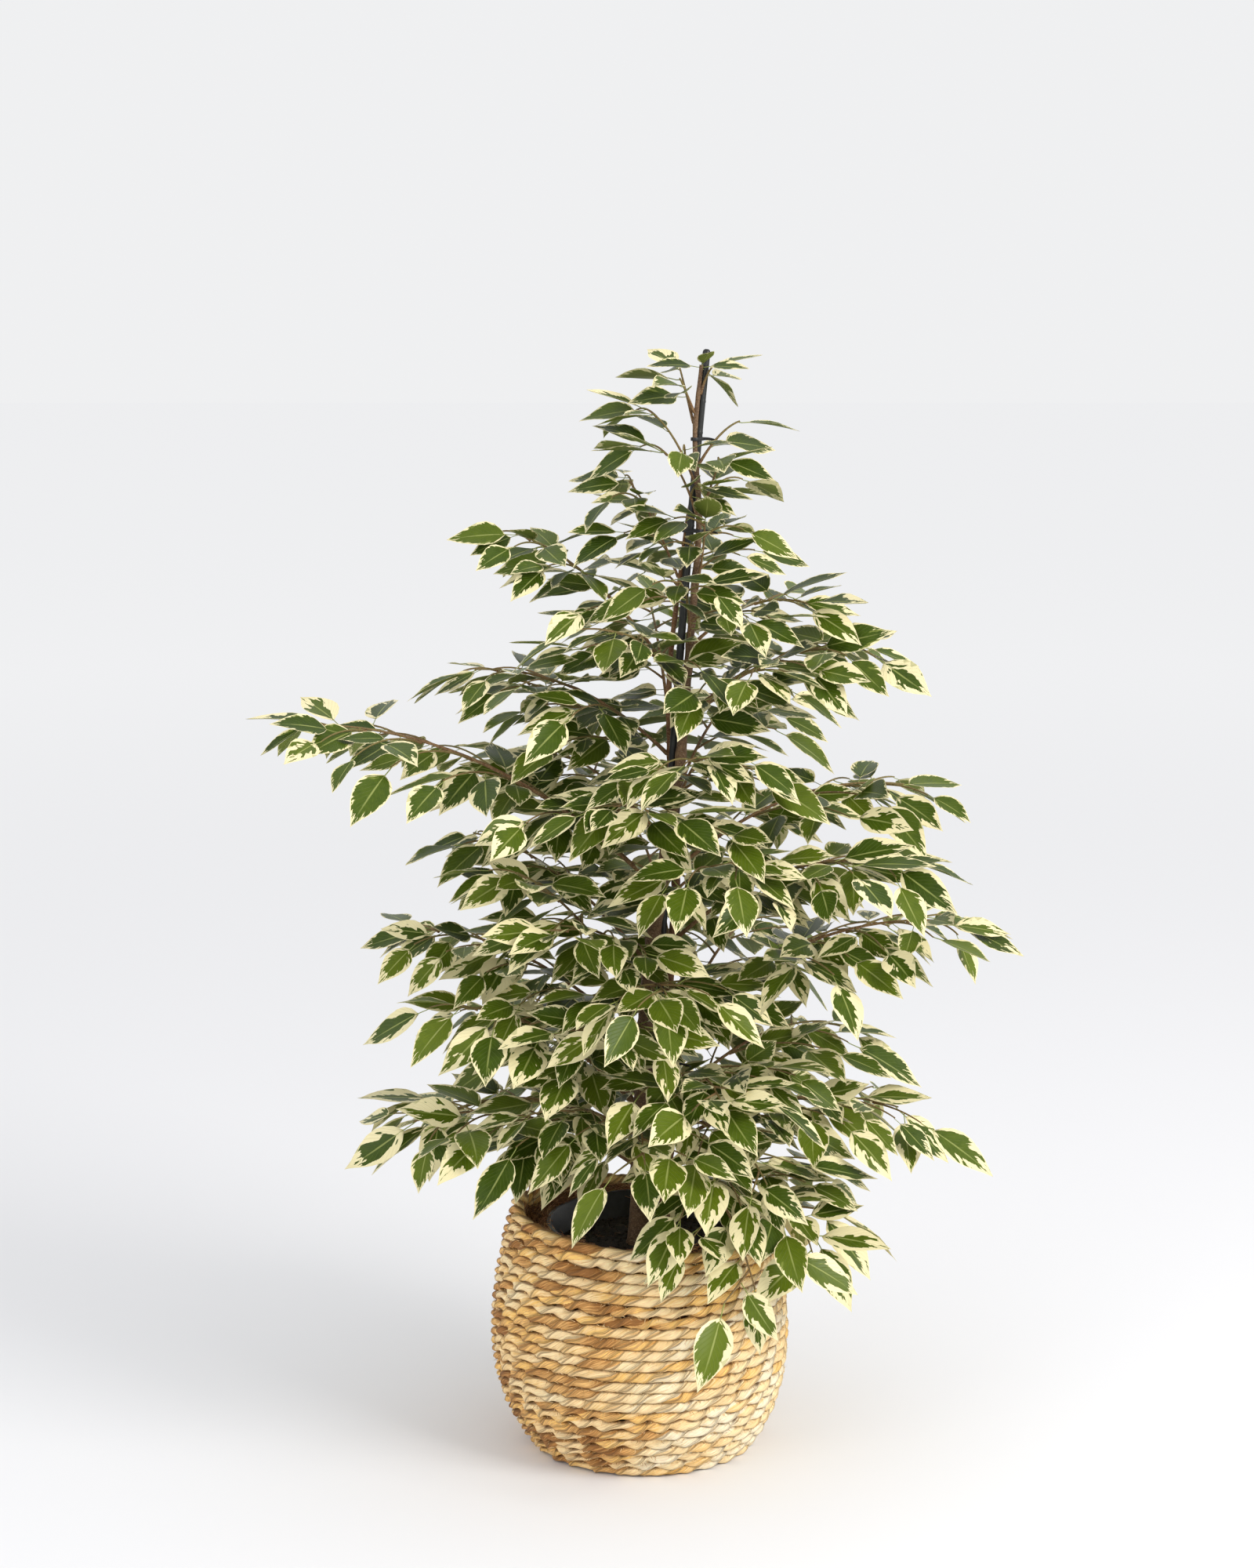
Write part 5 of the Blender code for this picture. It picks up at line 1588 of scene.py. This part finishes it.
def leaf_solid(length, room=0.0, with_petiole=True):
    """A folded blade on its petiole, the same triangles on both faces.

    Runs along +Y from its root, which is sunk in the twig. room thickens it on every side.
    """
    half = length * LEAF_WIDTH / 2 + room
    shoulder = half * LEAF_SHOULDER[0]
    stalk = PETIOLE_WIDTH / 2 + room
    root = -PETIOLE_SUNK if with_petiole else PETIOLE_LENGTH - BLADE_OVERLAP
    foot = PETIOLE_LENGTH
    widest = foot + LEAF_WIDEST * length
    narrowing = foot + LEAF_SHOULDER[1] * length
    lift = LEAF_FOLD * length / 2
    top = [Vector(point) for point in (
        (-stalk * PETIOLE_ROOT, root, 0.0),
        (stalk * PETIOLE_ROOT, root, 0.0),
        (stalk * PETIOLE_END, foot, 0.0),
        (half, widest, lift),
        (shoulder, narrowing, lift / 2),
        (0.0, foot + length + room, -lift),
        (-shoulder, narrowing, lift / 2),
        (-half, widest, lift),
        (-stalk * PETIOLE_END, foot, 0.0),
    )]
    face = [(0, 1, 2, 8), (2, 3, 4), (2, 4, 5), (8, 2, 5), (8, 5, 6), (8, 6, 7)]
    thick = LEAF_THICKNESS / 2 + room
    points = [point + UP * thick for point in top] + [point - UP * thick for point in top]
    below = len(top)
    faces = list(face)
    faces += [tuple(below + corner for corner in reversed(corners)) for corners in face]
    for corner in range(below):
        ahead = (corner + 1) % below
        faces.append((corner, below + corner, below + ahead, ahead))
    return points, faces


def leaf_sites(number, shoot_number, shoot, fork):
    """Places for leaves along a shoot, on alternate sides, the last one at its tip."""
    draw = Random(100000 + 1000 * number + shoot_number)
    droop = DROOP_LOW + (DROOP_HIGH - DROOP_LOW) * math.sqrt(climb(fork))
    grown = LEAF_GROWN[0] + (LEAF_GROWN[1] - LEAF_GROWN[0]) * climb(fork)
    length = shoot.length()
    start = LEAF_START[min(shoot_number, 1)]
    spacing = LEAF_SPACING * (1 + LEAF_THINNING * climb(fork))
    count = max(int((length - start) / spacing), 1)
    sites = []
    for k in range(count + 1):
        at_tip = k == count
        share = 1.0 - TIP_INSET / length if at_tip else (start + k * spacing) / length
        along = shoot.heading(share)
        level = along.cross(UP).normalized()
        side = 1 if k % 2 else -1
        slant = math.radians(draw.uniform(*(TIP_SLANT if at_tip else LEAF_SLANT)))
        heading = along * math.cos(slant) + level * side * math.sin(slant)
        heading.z = heading.z * LEAF_FOLLOWS - droop * draw.uniform(*LEAF_DROOP)
        size = draw.uniform(*LEAF_LENGTH) * grown
        roll = math.radians(draw.uniform(-LEAF_ROLL, LEAF_ROLL))
        if at_tip or draw.random() > LEAF_MISSING:
            sites.append((shoot.seat(share), heading, roll, size, at_tip, share))
    return sites


def leaf_stands_clear(site, owner, crowd):
    """The first turn of a leaf at which it meets nothing, as its matrix, or None."""
    foot, heading, roll, size = site[:4]
    for turn in TURNS:
        for lift in LEAF_LIFTS:
            way = heading.normalized() + UP * lift
            way.rotate(Matrix.Rotation(math.radians(turn), 3, "Z"))
            matrix = leaf_frame(foot, way, roll)
            whole = placed(matrix, leaf_solid(size, GUARD))
            blade = placed(matrix, leaf_solid(size, GUARD, with_petiole=False))
            if crowd.blocks(*whole, ignore=owner) or crowd.blocks(*blade):
                continue
            crowd.add(owner, *whole)
            return matrix
    return None


def fine_leaf(number):
    """One leaf with a blade of length 1 along +Y, facing +Z, its stalk starting at the twig.

    Both faces share the rim. Each form bends, folds and ripples in its own way.
    """
    draw = Random(500 + number)
    arch, fold = draw.uniform(0.02, 0.16), draw.uniform(0.05, 0.15)
    ripple, phase = draw.uniform(0.004, 0.018), draw.uniform(0, math.tau)
    hook, twist = draw.uniform(-0.07, 0.07), draw.uniform(-0.35, 0.35)
    points, across, along, rims, faces, under = [], [], [], [], [], []

    def blade_point(u, t, half, level):
        """A point u across the blade and t along it, on its upper face, its rim or its underside."""
        edge = abs(u)
        wave = math.sin(BLADE_RIPPLES * t + phase + (1.3 if u > 0 else 0))
        lift = fold * edge ** 1.2 * half / 2 + ripple * edge ** 2 * wave
        thick = level * BLADE_HALF_THICKNESS * (1 - edge ** 3) * min(1, 8 * (1 - t))
        turn = twist * t * t
        offset = u * half * LEAF_WIDTH / 2
        x = hook * t ** 3 + offset * math.cos(turn)
        z = lift - arch * t ** 1.8 + thick + offset * math.sin(turn)
        return Vector((x, STALK + t, z))

    rows = {1: [], -1: []}
    for level in (1, -1):
        for t, half in BLADE_OUTLINE:
            row = []
            for column, u in enumerate(BLADE_ACROSS):
                at_rim = abs(u) == 1.0 or t == 1.0
                if at_rim and level == -1:
                    row.append(rows[1][len(rows[-1])][column])
                    continue
                if t == 1.0 and column:
                    row.append(row[0])
                    continue
                row.append(len(points))
                points.append(blade_point(u, t, half, 0 if at_rim else level))
                across.append(u)
                along.append(t)
                rims.append(min((1 - abs(u)) * half * LEAF_WIDTH / 2, (1 - t) * 0.45))
            rows[level].append(row)
    for level in (1, -1):
        for low, high in zip(rows[level], rows[level][1:]):
            for k in range(len(BLADE_ACROSS) - 1):
                corners = tuple(dict.fromkeys((low[k], low[k + 1], high[k + 1], high[k])))
                faces.append(corners if level == 1 else tuple(reversed(corners)))
                under.append(0.0 if level == 1 else 1.0)
    top, bottom = rows[1][0], rows[-1][0]
    faces.append(tuple(top[::-1]) + tuple(bottom[1:-1]))
    under.append(0.0)
    first, sides = len(points), STALK_SIDES
    for y, radius in STALK_RINGS:
        sag = STALK_SAG * math.sin(math.pi * max(y, 0) / STALK)
        for side in range(sides):
            turn = math.tau * side / sides
            points.append(Vector((radius * math.cos(turn), y, radius * math.sin(turn) - sag)))
            across.append(0.0)
            along.append(-0.5)
            rims.append(1.0)
    for ring in range(len(STALK_RINGS) - 1):
        low = first + sides * ring
        for side in range(sides):
            ahead = (side + 1) % sides
            faces.append((low + side, low + ahead, low + sides + ahead, low + sides + side))
            under.append(0.0)
    last = first + sides * (len(STALK_RINGS) - 1)
    faces += [tuple(first + side for side in reversed(range(sides))),
              tuple(last + side for side in range(sides))]
    under += [0.0, 0.0]
    leaf = mesh_of("leaf_form_%d" % number, points, faces=faces, attributes=(
        ("blade_across", "FLOAT", across), ("blade_along", "FLOAT", along), ("rim", "FLOAT", rims)))
    layer = leaf.data.attributes.new("underside", "FLOAT", "FACE")
    for item, value in zip(layer.data, under):
        item.value = value
    outward(leaf)
    rim_points = {index for row in rows[1] for index in (row[0], row[-1])}
    for edge in leaf.data.edges:
        edge.use_edge_sharp = all(index in rim_points for index in edge.vertices)
    return leaf


def leaf_material():
    """Leaf green with a jagged cream edge, wider at the tip, sage patches and a pale midrib."""
    finish, tree, shader = new_material("variegated_leaf")
    across, along, rim = (attribute(tree, name) for name in ("blade_across", "blade_along", "rim"))
    pick, cream, under = (attribute(tree, name) for name in ("leaf_pick", "leaf_cream", "underside"))
    edge = across.calc("ABSOLUTE")
    vein = along - edge * 0.35
    streaks = xyz(tree, vein * 15.0, across * 1.6, pick * 53.0)
    broad = xyz(tree, vein * 3.5, across * 1.3, pick * 71.0)
    jagged = noise(tree, streaks, 1.0, 2.0, 0.6) - 0.5
    patches = noise(tree, broad, 1.0, 2.0, 0.5) - 0.5
    tip = along.rise(0.45, 1.0)
    width = jagged * (tip * 0.34 + 0.16) + patches * (cream * 0.75 + 0.12) + cream * 0.10 + 0.018
    width = width.calc("MAXIMUM", 0.012)
    wide_patch = patches * 0.55 + jagged * 0.20 + cream * 0.10 - 0.012
    creamy = (rim - width).rise(0.006, -0.006)
    sage = (rim - wide_patch).rise(0.010, -0.010)
    place = object_place(tree)
    low_down = part_of(tree, place, 2).rise(1.15, 0.2)
    mottled = noise(tree, place, 130.0, 3.0, 0.6)
    green = ramp(tree, pick * 0.55 + mottled * 0.40 + low_down * 0.20, LEAF_GREENS)
    colour = blend_colours(tree, sage * 0.72, green, SAGE)
    veins = (vein * (math.tau * 11)).calc("SINE").rise(0.86, 1.0) * edge.rise(0.0, 0.25) * 0.16
    colour = blend_colours(tree, veins, colour, VEIN_GREEN)
    colour = blend_colours(tree, creamy, colour, CREAM)
    midrib = edge.rise(0.075, 0.03) * along.rise(1.0, 0.35) * 0.62
    colour = blend_colours(tree, midrib, colour, MIDRIB_GREEN)
    colour = blend_colours(tree, under * 0.40, colour, UNDERSIDE)
    feed(tree, shader.inputs["Base Color"], colour)
    feed(tree, shader.inputs["Roughness"], under * 0.25 + mottled * 0.2 + 0.30)
    shader.inputs["Specular IOR Level"].default_value = 0.24
    ridges = veins * 2.0 - midrib * 1.2 + jagged * 0.25
    bump(tree, ridges, 0.0006, shader)
    return finish


def leaves_tree(name, finish, forms):
    """A leaf of one of the forms at each point, turned, sized and numbered as the point says."""
    tree, source, _ = geometry_tree(name)
    picked = add(tree, "GeometryNodeCollectionInfo", {
        "Collection": forms, "Separate Children": True, "Reset Children": True})
    leaves = add(tree, "GeometryNodeInstanceOnPoints", {
        "Points": source, "Instance": picked.outputs[0], "Pick Instance": True,
        "Instance Index": read(tree, "form"), "Scale": read(tree, "size"),
        "Rotation": any_turn(tree, read(tree, "turn", "FLOAT_VECTOR"))})
    finish_tree(tree, leaves.outputs[0], finish)
    return tree


def grow_leaf(found, site, shoot, name):
    """Note a leaf at this place, on its twig's fine line, if it meets nothing there."""
    matrix = leaf_stands_clear(site, name, crowd)
    if matrix:
        matrix.translation = shoot.point(site[5])
        found.append((name, matrix, site[3]))


def grow_leaves():
    """Every leaf as (branch, its matrix, the length of its blade).

    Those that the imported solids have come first, in the same order, then the others on the same
    twigs, and last the small ones that fill the crown near the stems.
    """
    found = []
    for solid in (True, False):
        for number, (branch, shoots) in enumerate(zip(BRANCHES, grown)):
            name, fork = branch[:2]
            for shoot_number, shoot in enumerate(shoots):
                is_main = shoot_number == 0
                for k, site in enumerate(leaf_sites(number, shoot_number, shoot, fork)):
                    at_tip = site[4] and (is_main or shoot_number % SOLID_TWIGS == 1)
                    modelled = at_tip or is_main and k % SOLID_LEAVES == SOLID_LEAVES // 2
                    if modelled == solid:
                        grow_leaf(found, site, shoot, name)
    for number, (branch, shoots) in enumerate(zip(BRANCHES, grown)):
        name, fork = branch[:2]
        for shoot_number, shoot in enumerate(shoots):
            for site in leaf_sites(number, INNER_DRAW + shoot_number, shoot, fork)[::INNER_SHARE]:
                away = site[0] - stake_line(site[0].z)
                if math.hypot(away.x, away.y) <= INNER_REACH:
                    grow_leaf(found, site, shoot, name)
    for heading, size in STEM_TIP_LEAVES:
        matrix = leaf_frame(main_line(MAIN_TOP - 0.002), Vector(heading), 0.0)
        found.append(("top", matrix, size))
    return found


forms = bpy.data.collections.new("leaf_forms")
for number in range(LEAF_FORMS):
    leaf = fine_leaf(number)
    bpy.context.scene.collection.objects.unlink(leaf)
    forms.objects.link(leaf)
leaf_finish = leaf_material()
leaves = grow_leaves()
pick_leaf = Random(77)
for side in SIDES_OF_PLANT:
    own = [leaf for leaf in leaves if leaf[0].startswith(side)]
    places = [matrix.translation for _, matrix, _ in own]
    source = mesh_of("leaf_places_" + side, places, attributes=(
        ("turn", "FLOAT_VECTOR", [tuple(matrix.to_euler("XYZ")) for _, matrix, _ in own]),
        ("size", "FLOAT", [size for _, _, size in own]),
        ("form", "FLOAT", [pick_leaf.randrange(LEAF_FORMS) + 0.1 for _ in own]),
        ("leaf_pick", "FLOAT", [pick_leaf.random() for _ in own]),
        ("leaf_cream", "FLOAT", [
            pick_leaf.random() ** (0.9 + 2.6 * climb(place.z)) for place in places])))
    piece = grown_from(source, "leaves_" + side, leaves_tree("leaves_" + side, leaf_finish, forms))
    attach(piece, "root")
    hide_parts(*["spray_" + branch[0] for branch in BRANCHES if branch[0].startswith(side)])
for leaf in list(forms.objects):
    bpy.data.objects.remove(leaf, do_unlink=True)
bpy.data.collections.remove(forms)


# Studio
# A plain pale floor that runs off into the light, soft light from the right and a little from
# the left, and the photograph's view.

FLOOR_REACH = 30.0
FLOOR_NEAR = (0.855, 0.855, 0.870)
FLOOR_FAR = (0.985, 0.985, 0.990)
CAMERA_PLACE = (-0.0165, -2.9, 1.15)
CAMERA_DOWN = 9.3             # degrees
CAMERA_LENS = 68.35
PICTURE_HEIGHT = 36.0         # of the camera's sensor, in millimetres as the lens is

corners = [(x * FLOOR_REACH, y * FLOOR_REACH, 0) for x, y in ((-1, -1), (1, -1), (1, 1), (-1, 1))]
floor = mesh_of("floor", corners, faces=[(0, 1, 2, 3)])
floor_finish, floor_tree, floor_shader = new_material("pale_floor")
far_away = vector(floor_tree, "LENGTH", object_place(floor_tree)).rise(0.6, 7.0)
feed(floor_tree, floor_shader.inputs["Base Color"],
     blend_colours(floor_tree, far_away, FLOOR_NEAR, FLOOR_FAR))
floor_shader.inputs["Roughness"].default_value = 1.0
floor_shader.inputs["Specular IOR Level"].default_value = 0.0
floor.data.materials.append(floor_finish)

world = bpy.data.worlds.new("studio")
bpy.context.scene.world = world
world.use_nodes = True
sky = world.node_tree.nodes["Background"]
sky.inputs["Color"].default_value = (0.985, 0.99, 1.0, 1.0)
sky.inputs["Strength"].default_value = 0.88


def soft_light(name, place, aim, size, power, colour):
    """A square area light that looks at a point."""
    light = bpy.data.lights.new(name, "AREA")
    light.size = size
    light.energy = power
    light.color = colour
    made = bpy.data.objects.new(name, light)
    bpy.context.scene.collection.objects.link(made)
    made.location = place
    made.rotation_euler = (Vector(aim) - Vector(place)).to_track_quat("-Z", "Y").to_euler()


soft_light("window", (2.2, -1.6, 2.1), (0.0, 0.0, 0.5), 1.4, 62.0, (1.0, 0.98, 0.95))
soft_light("fill", (-2.0, -2.2, 1.6), (0.0, 0.0, 0.5), 1.6, 14.0, (0.95, 0.98, 1.0))

camera_data = bpy.data.cameras.new("camera")
camera_data.sensor_fit = "VERTICAL"
camera_data.sensor_height = PICTURE_HEIGHT
camera_data.lens = CAMERA_LENS
camera = bpy.data.objects.new("camera", camera_data)
bpy.context.scene.collection.objects.link(camera)
camera.location = CAMERA_PLACE
camera.rotation_euler = (math.radians(90.0 - CAMERA_DOWN), 0.0, 0.0)
bpy.context.scene.camera = camera
bpy.context.scene.view_settings.view_transform = "Standard"
